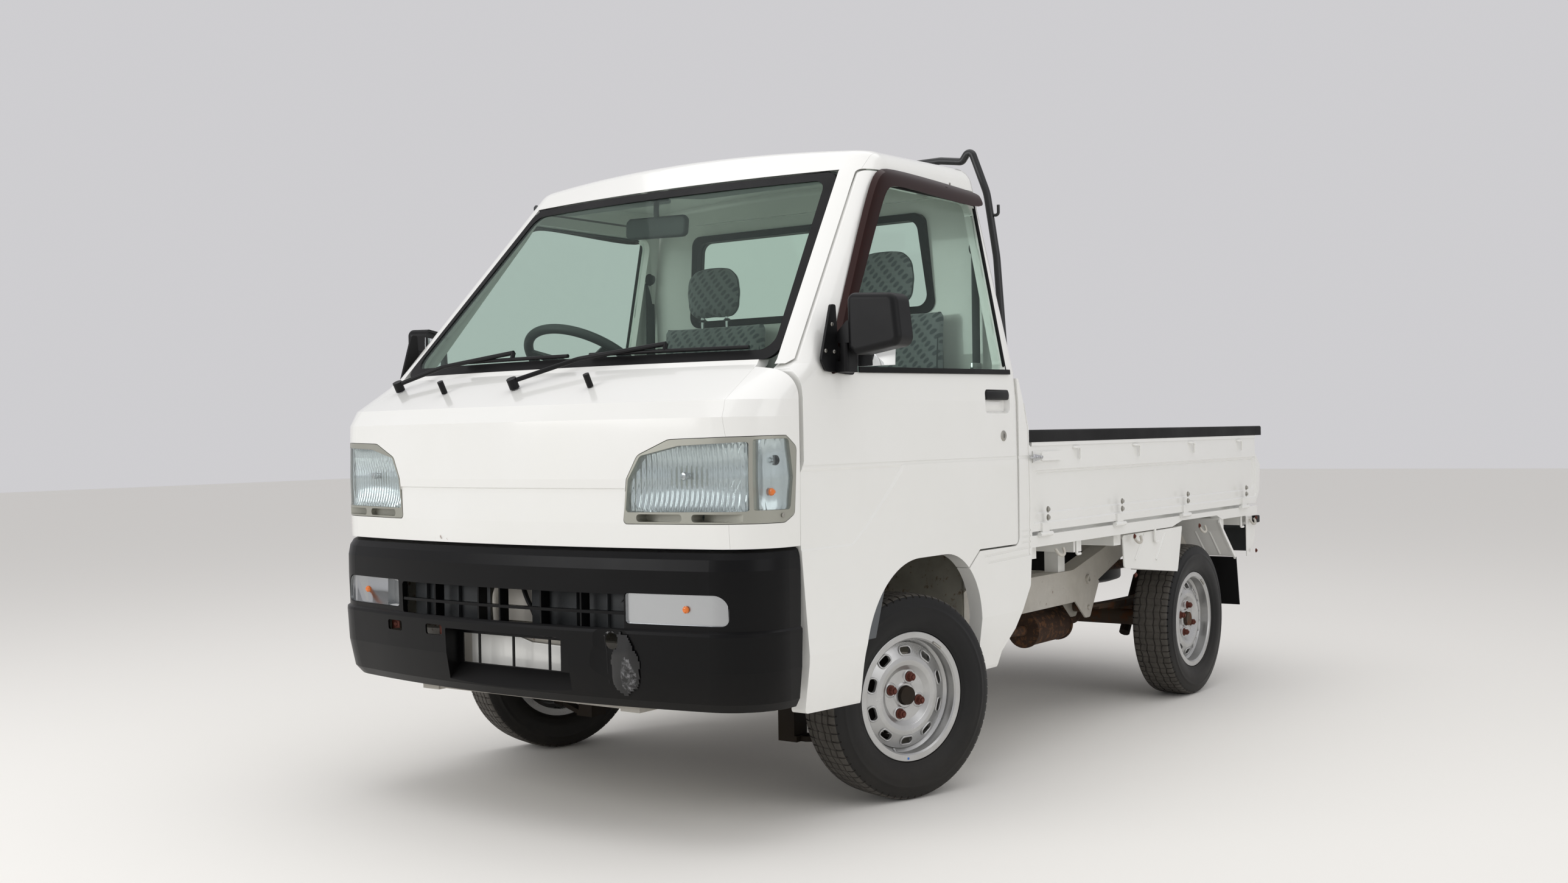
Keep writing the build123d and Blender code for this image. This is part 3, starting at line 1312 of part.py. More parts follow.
# Offsets from the rear axle and heights of the sheets round the rear wheel.
FRONT_SHEET = ((-597.0, 605.0, 8.0), (-589.0, 497.0, 14.0), (-207.0, 457.0, 14.0), (-161.0, 612.0, 8.0))
FRONT_SHEET_RIBS = (((-455.0, 612.0), (-518.0, 520.0)), ((-308.0, 608.0), (-374.0, 510.0)))
REAR_SHEET = ((208.0, 618.0), (248.0, 575.0), (368.0, 471.0))
INNER_EDGE = 177.0
SHEET_METAL = 4.0


def thin_band(points, width):
    """A strip of a width along points seen from the side, hanging below them."""
    lower = [(y - 0.2 * width, z - width) for y, z in points]
    return sharp(list(points) + lower[::-1])


def build_splash_panels():
    """Ribbed sheet ahead of each rear wheel, and the wheel housing before and behind it."""
    outer = HALF_WIDTH - 4
    inner = HALF_WIDTH - INNER_EDGE
    at = lambda rows: [(REAR_AXLE + row[0],) + tuple(row[1:]) for row in rows]
    start, end = REAR_AXLE - 600, REAR_AXLE - 260
    plan = (
        (outer - 31, start),
        (outer, end),
        (outer, REAR_AXLE - 150),
        (outer - SHEET_METAL, REAR_AXLE - 150),
        (outer - SHEET_METAL, end),
        (outer - 31 - SHEET_METAL, start),
    )
    skirt = from_above(sharp(plan), 440, 620) & from_side(at(FRONT_SHEET), 500, HALF_WIDTH + 20)
    for (y0, z0), (y1, z1) in FRONT_SHEET_RIBS:
        x0 = outer - 2 + 31 * (y0 + 260) / 340 if y0 < -260 else outer - 2
        x1 = outer - 2 + 31 * (y1 + 260) / 340 if y1 < -260 else outer - 2
        skirt += rod((x0, REAR_AXLE + y0 + 2, z0 - 12), (x1, REAR_AXLE + y1, z1), 6)
    front_wall = at(((-210.0, 457.0), (-207.0, 457.0), (-161.0, 612.0), (-164.0, 612.0)))
    skirt += from_side(sharp(front_wall), inner, outer - 1)
    rear = from_side(thin_band(at(REAR_SHEET), SHEET_METAL), inner, outer - 1)
    rear += from_side(thin_band(at(REAR_SHEET), 14.0), outer - 7, outer - 1)
    for x in (outer - 60, outer - 115):
        (y0, z0), (y1, z1) = at(REAR_SHEET[1:])
        rear += rod((x, y0 + 8, z0 - 6), (x, y1 - 8, z1 + 6), 6)
    box = at(((518.0, 457.0), (550.0, 457.0), (611.0, 526.0), (611.0, 606.0), (518.0, 609.0)))
    plate = from_side(sharp(box), outer - 15, outer - 12)
    return both(skirt) + both(rear) + both(plate)


def build_mud_flaps():
    """Rubber flaps behind the rear wheels."""
    rows = ((404.0, 281.0), (409.0, 281.0), (380.0, 464.0), (375.0, 464.0))
    flap = from_side(sharp([(REAR_AXLE + y, z) for y, z in rows]), HALF_WIDTH - 160, HALF_WIDTH - 7)
    return both(flap)


# Lens fields of the left tail lamp. Columns: inner end across, outer end across.
LAMP_FIELDS = ((455.0, 525.0), (528.0, 600.0), (603.0, 678.0))


def build_tail_lamps():
    """Rear lamps on a bar under the tailgate, each with three lens fields."""
    back = LENGTH - 30
    half = HALF_WIDTH - 47
    bar = block((-half, half), (back - 30, back), (560, 574))
    bar += block((-half, half), (back - 20, back - 13), (470, 574))
    bar += block((-165, 165), (back - 14, back - 10), (478, 552))
    for side in (1, -1):
        bar += block(sorted((side * 450, side * 682)), (back - 20, back + 2), (478, 560))
    pieces = [bar]
    for side in (1, -1):
        for low, high in LAMP_FIELDS:
            lens = block(sorted((side * low, side * high)), (back + 2.3, back + 20), (481, 557))
            pieces.append(fillet(lens.faces().sort_by(Axis.Y)[-1].edges(), 5))
    return pieces


MIRROR_FRONT = (
    (779.0, 1292.0, 20.0),
    (915.0, 1284.0, 26.0),
    (929.0, 1163.0, 24.0),
    (800.0, 1142.0, 20.0),
    (781.0, 1158.0, 8.0),
)
SAIL = (
    (347.0, 1133.0, 12.0),
    (366.0, 1106.0, 14.0),
    (484.0, 1099.0, 12.0),
    (496.0, 1120.0, 10.0),
    (625.0, 1157.0, 0.0),
    (419.0, 1163.0, 10.0),
    (410.0, 1266.0, 6.0),
    (390.0, 1266.0, 8.0),
)
MIRROR_PIVOT = (765.0, 470.0)
FOLDED = 67.0


def build_mirror(folded):
    """A left door mirror: sail plate, post and housing, as parked out or folded back."""
    shift = HALF_WIDTH - 737.0
    housing = from_front(MIRROR_FRONT, 398, 462)
    housing = fillet(housing.faces().sort_by(Axis.Y)[0].edges(), 16)
    glass = [(u, v, 14.0) for u, v, radius in inward(MIRROR_FRONT, 8.0)]
    housing -= from_front(glass[:3] + glass[3:4], 458, 470)
    housing += from_front(((750, 1173, 6.0), (816, 1173, 0.0), (816, 1226, 0.0), (778, 1226, 10.0), (750, 1200, 10.0)), 405, 455)
    if folded:
        pivot = Pos(MIRROR_PIVOT[0], MIRROR_PIVOT[1], 0)
        housing = pivot * Rot(0, 0, FOLDED) * pivot.inverse() * housing
    post = block((752, 778), (405, 455), (1104, 1175))
    post = fillet(post.edges().filter_by(Axis.Z), 9)
    foot = block((738, 760), (405, 455), (1104, 1130))
    sail = from_side(SAIL, 737.5, 744)
    return Pos(shift, 0, 0) * (housing + post + foot + sail)


def shield_surface_y(x, z):
    """Where the windshield's outer face lies at a width and height."""
    low, high = CAB_LEVELS[-2], CAB_LEVELS[-1]
    nose = low[1] + (high[1] - low[1]) * (z - low[0]) / (high[0] - low[0])
    return nose + bow(x)


# Columns: pivot, the arm's bend, where the arm meets the blade (each across and height),
# blade start across, blade end across, blade height.
WIPERS = (
    ((-573.0, 1114.0), (-436.0, 1158.0), (-171.0, 1186.0), -371.0, 36.0, 1168.0),
    ((-55.0, 1105.0), (97.0, 1157.0), (342.0, 1186.0), 110.0, 575.0, 1168.0),
)
# Columns: across, height of the foot.
NOZZLES = ((-327.0, 1081.0), (204.0, 1082.0))


def off_brow(x, z, away):
    """A point standing off the slope below the windshield, from its foot on the slope."""
    low, high = CAB_LEVELS[-3], CAB_LEVELS[-2]
    run_y, run_z = high[1] - low[1], high[0] - low[0]
    length = math.hypot(run_y, run_z)
    foot = low[1] + run_y * (z - low[0]) / run_z + bow(x)
    return (x, foot - away * run_z / length, z + away * run_y / length)


def build_wipers():
    """Two arms with blades low on the windshield, and the two washer nozzles."""
    pieces = []
    for (pivot_x, pivot_z), (bend_x, bend_z), (tip_x, tip_z), start_x, end_x, height in WIPERS:
        blade_points = []
        for x in (start_x, (start_x + end_x) / 2, end_x):
            blade_points.append((x, shield_surface_y(x, height) - 14, height))
        blade = rod(blade_points[0], blade_points[1], 5) + rod(blade_points[1], blade_points[2], 5)
        pivot = off_brow(pivot_x, pivot_z - 20, 22)
        bend = (bend_x, shield_surface_y(bend_x, bend_z) - 34, bend_z)
        tip = (tip_x, shield_surface_y(tip_x, tip_z) - 24, tip_z)
        arm = pipe([pivot, bend, tip], 60, 6)
        link = rod(tip, (tip_x, shield_surface_y(tip_x, height) - 14, height), 6)
        post = rod(off_brow(pivot_x, pivot_z - 20, 3), off_brow(pivot_x, pivot_z - 20, 30), 13)
        pieces.append(blade + arm + link + post)
    for x, z in NOZZLES:
        pieces.append(rod(off_brow(x, z, 2), off_brow(x, z, 36), 8))
    return pieces


def main():
    os.makedirs("parts", exist_ok=True)
    write("chassis_frame", build_chassis())
    write("cab_floor", build_cab_floor())
    write("front_panel", build_front_panel())
    write("corner_panels", *both(build_corner_panel()))
    side_frame = build_side_frame()
    write("side_frame_left", side_frame)
    write("side_frame_right", other_side(side_frame))
    write("roof", build_roof())
    write("rear_wall", build_rear_wall())
    write("windshield", build_windshield())
    write("window_seals", *build_window_seals())
    write("rear_window", build_rear_window())
    write("dashboard", build_dashboard())
    write("steering_column", *build_column())
    write("seat_bases", *build_seat_bases())
    write("seat_cushions", *both(build_seat("cushion")))
    write("seat_backs", *both(build_seat("back")))
    write("front_bumper", build_bumper())
    headlight = build_headlight()
    write("headlights", *headlight, *[other_side(piece) for piece in headlight])
    lamp = build_bumper_lamp()
    write("bumper_lamps", *lamp, *[other_side(piece) for piece in lamp])
    write("wipers", *build_wipers())
    lower, upper = build_front_suspension()
    write("front_suspension", *both(lower), *both(upper))
    write("rear_axle", build_rear_axle())
    write("leaf_springs", *build_leaf_springs())
    write("engine", build_engine())
    write("propshaft", build_propshaft())
    write("exhaust", build_exhaust())
    write("fuel_tank", build_fuel_tank())
    write("spare_wheel", build_spare_wheel())
    write("bed_floor", build_bed_floor())
    write("headboard", build_headboard())
    write("guard_frame", build_guard_frame())
    write("splash_panels", *build_splash_panels())
    write("mud_flaps", *build_mud_flaps())
    write("tail_lamps", *build_tail_lamps())

    door = build_door()
    glass = build_door_glass()
    gate = build_side_gate()
    seal = build_gate_seal()
    for name, flip in (("left", lambda shape: shape), ("right", other_side)):
        write("door_" + name, flip(door))
        write("door_glass_" + name, flip(glass))
        write("mirror_" + name, flip(build_mirror(name == "right")))
        write("side_gate_" + name, flip(gate))
        write("gate_seal_" + name, flip(seal))
    write("tailgate", build_tailgate())
    write("tailgate_seal", build_tailgate_seal())
    write("steering_wheel", build_steering_wheel())

    tyre = build_tyre()
    rim = build_rim()
    knuckle = build_knuckle()
    for name, side in (("left", 1), ("right", -1)):
        for piece, shape in (("tyre", tyre), ("rim", rim)):
            front = place_wheel(shape, FRONT_HUB_X, FRONT_AXLE, side)
            write(piece + "_front_" + name, steered(front, side))
            write(piece + "_rear_" + name, place_wheel(shape, REAR_HUB_X, REAR_AXLE, side))
        upright = knuckle if side > 0 else other_side(knuckle)
        write("knuckle_" + name, steered(upright, side))


main()
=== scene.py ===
import json
import logging
import math
from dataclasses import dataclass, field
from enum import Enum
from typing import Dict, Iterable, List, Optional, Sequence, Tuple

import bmesh
import bpy
from mathutils import Matrix, Vector

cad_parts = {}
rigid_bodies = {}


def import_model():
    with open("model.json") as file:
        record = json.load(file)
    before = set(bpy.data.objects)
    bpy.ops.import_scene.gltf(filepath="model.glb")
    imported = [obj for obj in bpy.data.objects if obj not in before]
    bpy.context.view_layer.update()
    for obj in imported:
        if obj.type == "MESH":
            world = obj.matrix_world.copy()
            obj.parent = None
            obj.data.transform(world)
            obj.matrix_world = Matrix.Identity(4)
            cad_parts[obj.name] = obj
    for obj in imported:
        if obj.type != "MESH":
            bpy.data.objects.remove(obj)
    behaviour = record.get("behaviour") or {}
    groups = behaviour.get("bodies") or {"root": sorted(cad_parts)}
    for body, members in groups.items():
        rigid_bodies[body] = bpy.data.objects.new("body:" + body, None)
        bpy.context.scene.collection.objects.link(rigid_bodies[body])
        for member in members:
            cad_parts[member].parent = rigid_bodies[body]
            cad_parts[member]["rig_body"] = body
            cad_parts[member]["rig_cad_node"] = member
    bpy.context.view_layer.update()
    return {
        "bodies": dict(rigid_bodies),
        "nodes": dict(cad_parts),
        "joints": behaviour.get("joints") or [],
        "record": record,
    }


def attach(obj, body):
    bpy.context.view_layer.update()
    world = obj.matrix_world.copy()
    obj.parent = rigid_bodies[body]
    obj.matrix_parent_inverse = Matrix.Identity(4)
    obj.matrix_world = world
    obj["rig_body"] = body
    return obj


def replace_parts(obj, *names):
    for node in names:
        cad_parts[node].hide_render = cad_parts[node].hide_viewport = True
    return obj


LOG = logging.getLogger("small_truck")
Point = Tuple[float, float, float]

# Half the truck's length, the tyre's radius and the axles' places, in metres, and how far
# the front wheels are turned at rest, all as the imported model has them.
HALF_LENGTH = 1.6975
TYRE_RADIUS = 0.268
FRONT_AXLE_Y = -0.8575
REAR_AXLE_Y = 1.0425
STEER_AT_REST = math.radians(-18.3)


def linear(code: str) -> Tuple[float, float, float, float]:
    """Turns an sRGB hex colour into the linear colour that a shader takes.

    Args:
        code: a colour such as "#E8E6E0".

    Returns:
        Red, green, blue and a full alpha.
    """
    parts = [int(code[i:i + 2], 16) / 255 for i in (1, 3, 5)]
    flat = [c / 12.92 if c <= 0.04045 else ((c + 0.055) / 1.055) ** 2.4 for c in parts]
    return flat[0], flat[1], flat[2], 1.0


def per_mm(size: float) -> float:
    """The texture scale that gives a pattern of this size in millimetres."""
    return 1000.0 / size


def add(tree: bpy.types.NodeTree, kind: str, **wanted: object) -> bpy.types.Node:
    """Adds one shader node with its settings and links.

    Args:
        tree: the material's node tree.
        kind: the node's type, such as "ShaderNodeBump".
        wanted: node settings by name, and inputs by name with spaces written as "_".
            A socket as the value makes a link, and in0, in1 address inputs by number.

    Returns:
        The new node.
    """
    node = tree.nodes.new(kind)
    for name, value in wanted.items():
        if name.startswith("in") and name[2:].isdigit():
            target = node.inputs[int(name[2:])]
        elif hasattr(node, name):
            setattr(node, name, value)
            continue
        else:
            target = node.inputs[name.replace("_", " ")]
        if isinstance(value, bpy.types.NodeSocket):
            tree.links.new(value, target)
        else:
            target.default_value = value
    return node



def begin_material(name: str, shown: str) -> Tuple[Optional[bpy.types.NodeTree], bpy.types.Material]:
    """Starts a material, or finds it if it was made before.

    Args:
        name: the material's name.
        shown: its colour in plain views.

    Returns:
        Its empty node tree, or None if it was made before, and the material.
    """
    known = bpy.data.materials.get(name)
    if known is not None and known.get("made_here"):
        return None, known
    material = bpy.data.materials.new(name)
    material["made_here"] = True
    material.use_nodes = True
    material.node_tree.nodes.clear()
    material.diffuse_color = linear(shown)
    return material.node_tree, material


class Grain(Enum):
    """How a surface's fine relief was made."""

    NONE = "none"
    ORANGE_PEEL = "orange peel of sprayed paint"
    MOULDED = "grain of a moulding tool"
    ROUGH = "rough casting or rust"


@dataclass(frozen=True)
class Finish:
    """A surface that is one colour varied by blotches, dirt near the ground and wear.

    The blotches keep a broad face from looking like a flat fill, the dirt gathers low down
    on the truck, and the grain breaks up the gloss.
    """

    name: str
    slot: str
    colour: str
    varied: str
    roughness: float
    metallic: float = 0.0
    coat: float = 0.0
    specular: float = 0.5
    blotch_mm: float = 220.0
    grain: Grain = Grain.NONE
    grain_mm: float = 1.2
    relief: float = 0.15
    dirt: str = "#6B5E4B"
    dirt_top: float = 0.0
    dirt_amount: float = 0.0
    speck: str = "#4A2A18"
    speck_amount: float = 0.0
    speck_mm: float = 30.0

    def build(self) -> bpy.types.Material:
        """Makes the material, or returns it if it was made before."""
        tree, material = begin_material(self.name, self.colour)
        if tree is None:
            return material
        place = add(tree, "ShaderNodeTexCoord").outputs["Object"]
        colour, rough = self.surface(tree, place)
        shader = add(tree, "ShaderNodeBsdfPrincipled", Base_Color=colour, Roughness=rough,
                     Metallic=self.metallic, Specular_IOR_Level=self.specular,
                     Coat_Weight=self.coat, Coat_Roughness=0.06)
        self.relieve(tree, place, shader)
        add(tree, "ShaderNodeOutputMaterial", Surface=shader.outputs[0])
        return material

    def surface(self, tree: bpy.types.NodeTree, place: bpy.types.NodeSocket) -> Tuple[
            bpy.types.NodeSocket, bpy.types.NodeSocket]:
        """The colour and roughness outputs, from blotches, specks and low dirt.

        Args:
            tree: the material's node tree.
            place: the surface's own coordinates.

        Returns:
            A colour socket and a roughness socket.
        """
        cloud = add(tree, "ShaderNodeTexNoise", Vector=place, Scale=per_mm(self.blotch_mm),
                    Detail=5.0, Roughness=0.6)
        colour = add(tree, "ShaderNodeMix", data_type="RGBA", in0=cloud.outputs[0],
                     in6=linear(self.colour), in7=linear(self.varied)).outputs[2]
        wear = add(tree, "ShaderNodeMapRange", Value=cloud.outputs[0], From_Min=0.3, From_Max=0.7,
                   To_Min=self.roughness * 0.85, To_Max=min(1.0, self.roughness * 1.15)).outputs[0]
        if self.speck_amount > 0:
            spots = add(tree, "ShaderNodeTexNoise", Vector=place, Scale=per_mm(self.speck_mm),
                        Detail=8.0, Roughness=0.7)
            edge = 0.72 * (1.0 - self.speck_amount)
            mask = add(tree, "ShaderNodeMapRange", Value=spots.outputs[0], From_Min=edge,
                       From_Max=edge + 0.08).outputs[0]
            colour, wear = self.cover(tree, mask, (colour, wear), self.speck)
        if self.dirt_amount > 0:
            height = add(tree, "ShaderNodeSeparateXYZ", Vector=place).outputs[2]
            low = add(tree, "ShaderNodeMapRange", Value=height, From_Min=0.05,
                      From_Max=self.dirt_top, To_Min=1.0, To_Max=0.0).outputs[0]
            dust = add(tree, "ShaderNodeTexNoise", Vector=place, Scale=per_mm(60.0), Detail=8.0,
                       Roughness=0.72).outputs[0]
            both = add(tree, "ShaderNodeMath", operation="MULTIPLY", in0=low, in1=dust).outputs[0]
            mask = add(tree, "ShaderNodeMath", operation="MULTIPLY", in0=both,
                       in1=self.dirt_amount).outputs[0]
            colour, wear = self.cover(tree, mask, (colour, wear), self.dirt)
        return colour, wear

    def cover(self, tree: bpy.types.NodeTree, mask: bpy.types.NodeSocket,
              under: Tuple[bpy.types.NodeSocket, bpy.types.NodeSocket], colour: str) -> Tuple[
                  bpy.types.NodeSocket, bpy.types.NodeSocket]:
        """Lays a dull colour over the surface where the mask says."""
        tint = add(tree, "ShaderNodeMix", data_type="RGBA", in0=mask, in6=under[0],
                   in7=linear(colour)).outputs[2]
        rough = add(tree, "ShaderNodeMix", data_type="FLOAT", in0=mask, in2=under[1],
                    in3=0.88).outputs[0]
        return tint, rough

    def relieve(self, tree: bpy.types.NodeTree, place: bpy.types.NodeSocket,
                shader: bpy.types.Node) -> None:
        """Adds the surface's fine relief to the shader."""
        if self.grain is Grain.NONE:
            return
        if self.grain is Grain.MOULDED:
            height = add(tree, "ShaderNodeTexVoronoi", Vector=place,
                         Scale=per_mm(self.grain_mm)).outputs[0]
        else:
            detail = 2.0 if self.grain is Grain.ORANGE_PEEL else 9.0
            height = add(tree, "ShaderNodeTexNoise", Vector=place, Scale=per_mm(self.grain_mm),
                         Detail=detail, Roughness=0.6).outputs[0]
        bump = add(tree, "ShaderNodeBump", Height=height, Strength=self.relief, Distance=0.001)
        tree.links.new(bump.outputs[0], shader.inputs["Normal"])


@dataclass(frozen=True)
class Pane:
    """Sheet glass or a clear moulding: tinted to look through, bright at a glance."""

    name: str
    slot: str
    tint: str
    haze: str
    cover: float = 0.05
    edge_cover: float = 0.8
    roughness: float = 0.03
    single_sheet: bool = False

    def build(self) -> bpy.types.Material:
        """Makes the material, or returns it if it was made before."""
        tree, material = begin_material(self.name, self.tint)
        if tree is None:
            return material
        glance = add(tree, "ShaderNodeFresnel", IOR=1.5)
        share = add(tree, "ShaderNodeMapRange", Value=glance.outputs[0], From_Min=0.04,
                    From_Max=0.9, To_Min=self.cover, To_Max=self.edge_cover).outputs[0]
        if not self.single_sheet:
            front = add(tree, "ShaderNodeMath", operation="SUBTRACT", in0=1.0,
                        in1=add(tree, "ShaderNodeNewGeometry").outputs["Backfacing"]).outputs[0]
            share = add(tree, "ShaderNodeMath", operation="MULTIPLY", in0=share, in1=front).outputs[0]
        clear_part = add(tree, "ShaderNodeBsdfTransparent", Color=linear(self.tint))
        bright_part = add(tree, "ShaderNodeBsdfPrincipled", Base_Color=linear(self.haze),
                          Roughness=self.roughness, Metallic=0.5)
        both = add(tree, "ShaderNodeMixShader", in0=share, in1=clear_part.outputs[0],
                   in2=bright_part.outputs[0])
        add(tree, "ShaderNodeOutputMaterial", Surface=both.outputs[0])
        return material


@dataclass(frozen=True)
class Smear:
    """A mark that covers what it lies on only in patches, such as a scrape or a rust stain."""

    name: str
    slot: str
    colour: str
    varied: str
    roughness: float
    patch_mm: float = 14.0
    amount: float = 0.5

    def build(self) -> bpy.types.Material:
        """Makes the material, or returns it if it was made before."""
        tree, material = begin_material(self.name, self.colour)
        if tree is None:
            return material
        place = add(tree, "ShaderNodeTexCoord").outputs["Object"]
        patches = add(tree, "ShaderNodeTexNoise", Vector=place, Scale=per_mm(self.patch_mm), Detail=7.0,
                      Roughness=0.7).outputs[0]
        share = add(tree, "ShaderNodeMapRange", Value=patches, From_Min=0.75 - 0.5 * self.amount,
                    From_Max=0.95 - 0.5 * self.amount).outputs[0]
        colour = add(tree, "ShaderNodeMix", data_type="RGBA", in0=patches, in6=linear(self.varied),
                     in7=linear(self.colour)).outputs[2]
        gap = add(tree, "ShaderNodeBsdfTransparent")
        mark = add(tree, "ShaderNodeBsdfPrincipled", Base_Color=colour, Roughness=self.roughness)
        both = add(tree, "ShaderNodeMixShader", in0=share, in1=gap.outputs[0], in2=mark.outputs[0])
        add(tree, "ShaderNodeOutputMaterial", Surface=both.outputs[0])
        return material


@dataclass(frozen=True)
class Cloth:
    """Woven seat cloth: crossed threads with a diagonal fleck."""

    name: str
    slot: str
    colour: str
    fleck: str
    thread_mm: float = 2.4
    fleck_mm: float = 5.5

    def build(self) -> bpy.types.Material:
        """Makes the material, or returns it if it was made before."""
        tree, material = begin_material(self.name, self.colour)
        if tree is None:
            return material
        place = add(tree, "ShaderNodeTexCoord").outputs["Object"]
        turned_place = add(tree, "ShaderNodeMapping", Vector=place, Rotation=(0.0, 0.7, 0.0))
        bands = []
        for direction, size, source in (("X", self.fleck_mm, turned_place.outputs[0]),
                                        ("Z", self.fleck_mm * 0.5, turned_place.outputs[0]),
                                        ("X", self.thread_mm, place), ("Z", self.thread_mm, place)):
            wave = add(tree, "ShaderNodeTexWave", wave_type="BANDS", bands_direction=direction,
                       Vector=source, Scale=per_mm(size) / 20.0)
            bands.append(wave.outputs["Fac"])
        pattern = add(tree, "ShaderNodeMath", operation="MULTIPLY", in0=bands[0],
                      in1=bands[1]).outputs[0]
        shade = add(tree, "ShaderNodeMapRange", Value=pattern, From_Min=0.15, From_Max=0.45)
        colour = add(tree, "ShaderNodeMix", data_type="RGBA", in0=shade.outputs[0],
                     in6=linear(self.colour), in7=linear(self.fleck)).outputs[2]
        weave = add(tree, "ShaderNodeMath", operation="ADD", in0=bands[2], in1=bands[3]).outputs[0]
        bump = add(tree, "ShaderNodeBump", Height=weave, Strength=0.4, Distance=0.001)
        shader = add(tree, "ShaderNodeBsdfPrincipled", Base_Color=colour, Roughness=0.92,
                     Sheen_Weight=0.25, Normal=bump.outputs[0])
        add(tree, "ShaderNodeOutputMaterial", Surface=shader.outputs[0])
        return material


# Gloss white enamel sprayed over pressed steel: bright, with a clear skin and a faint ripple.
BODY_PAINT = Finish("white_enamel", "white_paint", "#EFEFEC", "#E9E9E4", 0.22, coat=0.7,
                    grain=Grain.ORANGE_PEEL, grain_mm=4.0, relief=0.015, dirt_top=0.42,
                    dirt_amount=0.35, dirt="#8A7F6C")
# Thin single coat inside the cab, duller and creamier than the outside.
CABIN_PAINT = Finish("cabin_enamel", "cabin_paint", "#DDE0D8", "#D0D3CA", 0.42,
                     grain=Grain.ORANGE_PEEL, grain_mm=3.0, relief=0.03)
# Painted frame rails that carry road dirt and points of rust.
CHASSIS_PAINT = Finish("chassis_enamel", "chassis_paint", "#D2CFC8", "#B9B4A8", 0.5,
                       grain=Grain.ROUGH, grain_mm=6.0, relief=0.12, dirt_top=0.75,
                       dirt_amount=0.8, dirt="#5A5044", speck_amount=0.12, speck="#6A4128",
                       speck_mm=45.0)
# The same coat where the wheels throw dirt at it: grey-brown with rust runs.
SPLASHED_PAINT = Finish("splashed_enamel", "white_paint", "#A9A79B", "#77736A", 0.6,
                        grain=Grain.ROUGH, grain_mm=8.0, relief=0.15, blotch_mm=90.0,
                        speck_amount=0.2, speck="#5F4934", speck_mm=35.0)
# Unpainted polypropylene with a satin moulded grain, a little chalky with age.
BUMPER_PLASTIC = Finish("satin_polypropylene", "black_plastic", "#060607", "#0A0A0B", 0.34,
                        specular=0.16, grain=Grain.MOULDED, grain_mm=1.0, relief=0.04, dirt_top=0.42,
                        dirt_amount=0.25, dirt="#5D564B")
# The patch on the bumper's dent, pale partly from real scuffing and partly as a painted highlight of the dent's
# shine; the small gouge uses it too.
SCRAPE_AND_HIGHLIGHT = Smear("scraped_polypropylene", "black_plastic", "#8F8F90", "#3A3A3C", 0.4, amount=0.62)
# Rust that creeps from an edge and stains the enamel below it.
RUST_STAIN = Smear("rust_stain", "rusty_steel", "#8A5A34", "#5A341F", 0.8, patch_mm=9.0, amount=0.5)
# Hard black ABS of mirrors, wipers and handles.
TRIM_PLASTIC = Finish("black_abs", "black_plastic", "#0C0C0D", "#121214", 0.42, specular=0.22,
                      grain=Grain.MOULDED, grain_mm=0.9, relief=0.06)
# Extruded weather strip: dull black rubber.
SEAL_RUBBER = Finish("weather_strip", "trim_rubber", "#0B0B0C", "#111112", 0.58, specular=0.2,
                     grain=Grain.ROUGH, grain_mm=2.5, relief=0.08)
# Aged sidewall rubber, dressed dark.
TYRE_RUBBER = Finish("tyre_sidewall", "tyre_rubber", "#0C0C0D", "#151515", 0.5,
                     specular=0.3, grain=Grain.ROUGH, grain_mm=3.5, relief=0.12, dirt_top=0.3,
                     dirt_amount=0.3, dirt="#4E483F")
# The tread, greyed by stone dust.
TREAD_RUBBER = Finish("tyre_tread", "tyre_rubber", "#56524C", "#3E3B37", 0.85,
                      blotch_mm=30.0, grain=Grain.ROUGH, grain_mm=3.0, relief=0.3)
# Silver wheel enamel over pressed steel, dusty with brake dirt.
WHEEL_PAINT = Finish("silver_wheel_enamel", "wheel_paint", "#C9CACB", "#A9A8A4", 0.3,
                     metallic=0.75, grain=Grain.ORANGE_PEEL, grain_mm=3.0, relief=0.05,
                     blotch_mm=70.0, speck_amount=0.06, speck="#6B5236", speck_mm=25.0)
# Cast and forged steel under the truck, browned all over.
UNDERBODY_STEEL = Finish("browned_steel", "cast_steel", "#3A332E", "#54412F", 0.75,
                         metallic=0.3, grain=Grain.ROUGH, grain_mm=5.0, relief=0.3,
                         speck_amount=0.3, speck="#5B3A22", speck_mm=40.0)
# Forged arms and knuckles, black with grease.
DARK_STEEL = Finish("greasy_forged_steel", "cast_steel", "#221E1B", "#30281F", 0.75, specular=0.2,
                    grain=Grain.ROUGH, grain_mm=5.0, relief=0.2, blotch_mm=80.0)
# Muffler sheet, rusted brown and flaky.
RUSTY_SHEET = Finish("rusted_sheet", "rusty_steel", "#4A3528", "#33261D", 0.85,
                     metallic=0.2, grain=Grain.ROUGH, grain_mm=4.0, relief=0.4,
                     speck_amount=0.3, speck="#6B4A30", speck_mm=22.0)
# Black enamel on steel tube.
FRAME_PAINT = Finish("black_tube_enamel", "frame_paint", "#151617", "#1E1F21", 0.34,
                     grain=Grain.ORANGE_PEEL, grain_mm=2.5, relief=0.05, speck_amount=0.04,
                     speck="#4C3A2A", speck_mm=18.0)
# Interior polypropylene, grey and dull.
CABIN_PLASTIC = Finish("grey_polypropylene", "grey_plastic", "#5E6265", "#54585B", 0.6,
                       grain=Grain.MOULDED, grain_mm=1.4, relief=0.08)
# Darker grey moulding of the steering wheel, visors and belt reels.
DARK_PLASTIC = Finish("dark_cabin_plastic", "grey_plastic", "#26292B", "#2F3234", 0.55,
                      grain=Grain.MOULDED, grain_mm=1.2, relief=0.08)
# Ribbed floor mat.
MAT_RUBBER = Finish("floor_mat_rubber", "trim_rubber", "#2B2C2C", "#3A3937", 0.8,
                    grain=Grain.ROUGH, grain_mm=4.0, relief=0.2, blotch_mm=120.0)
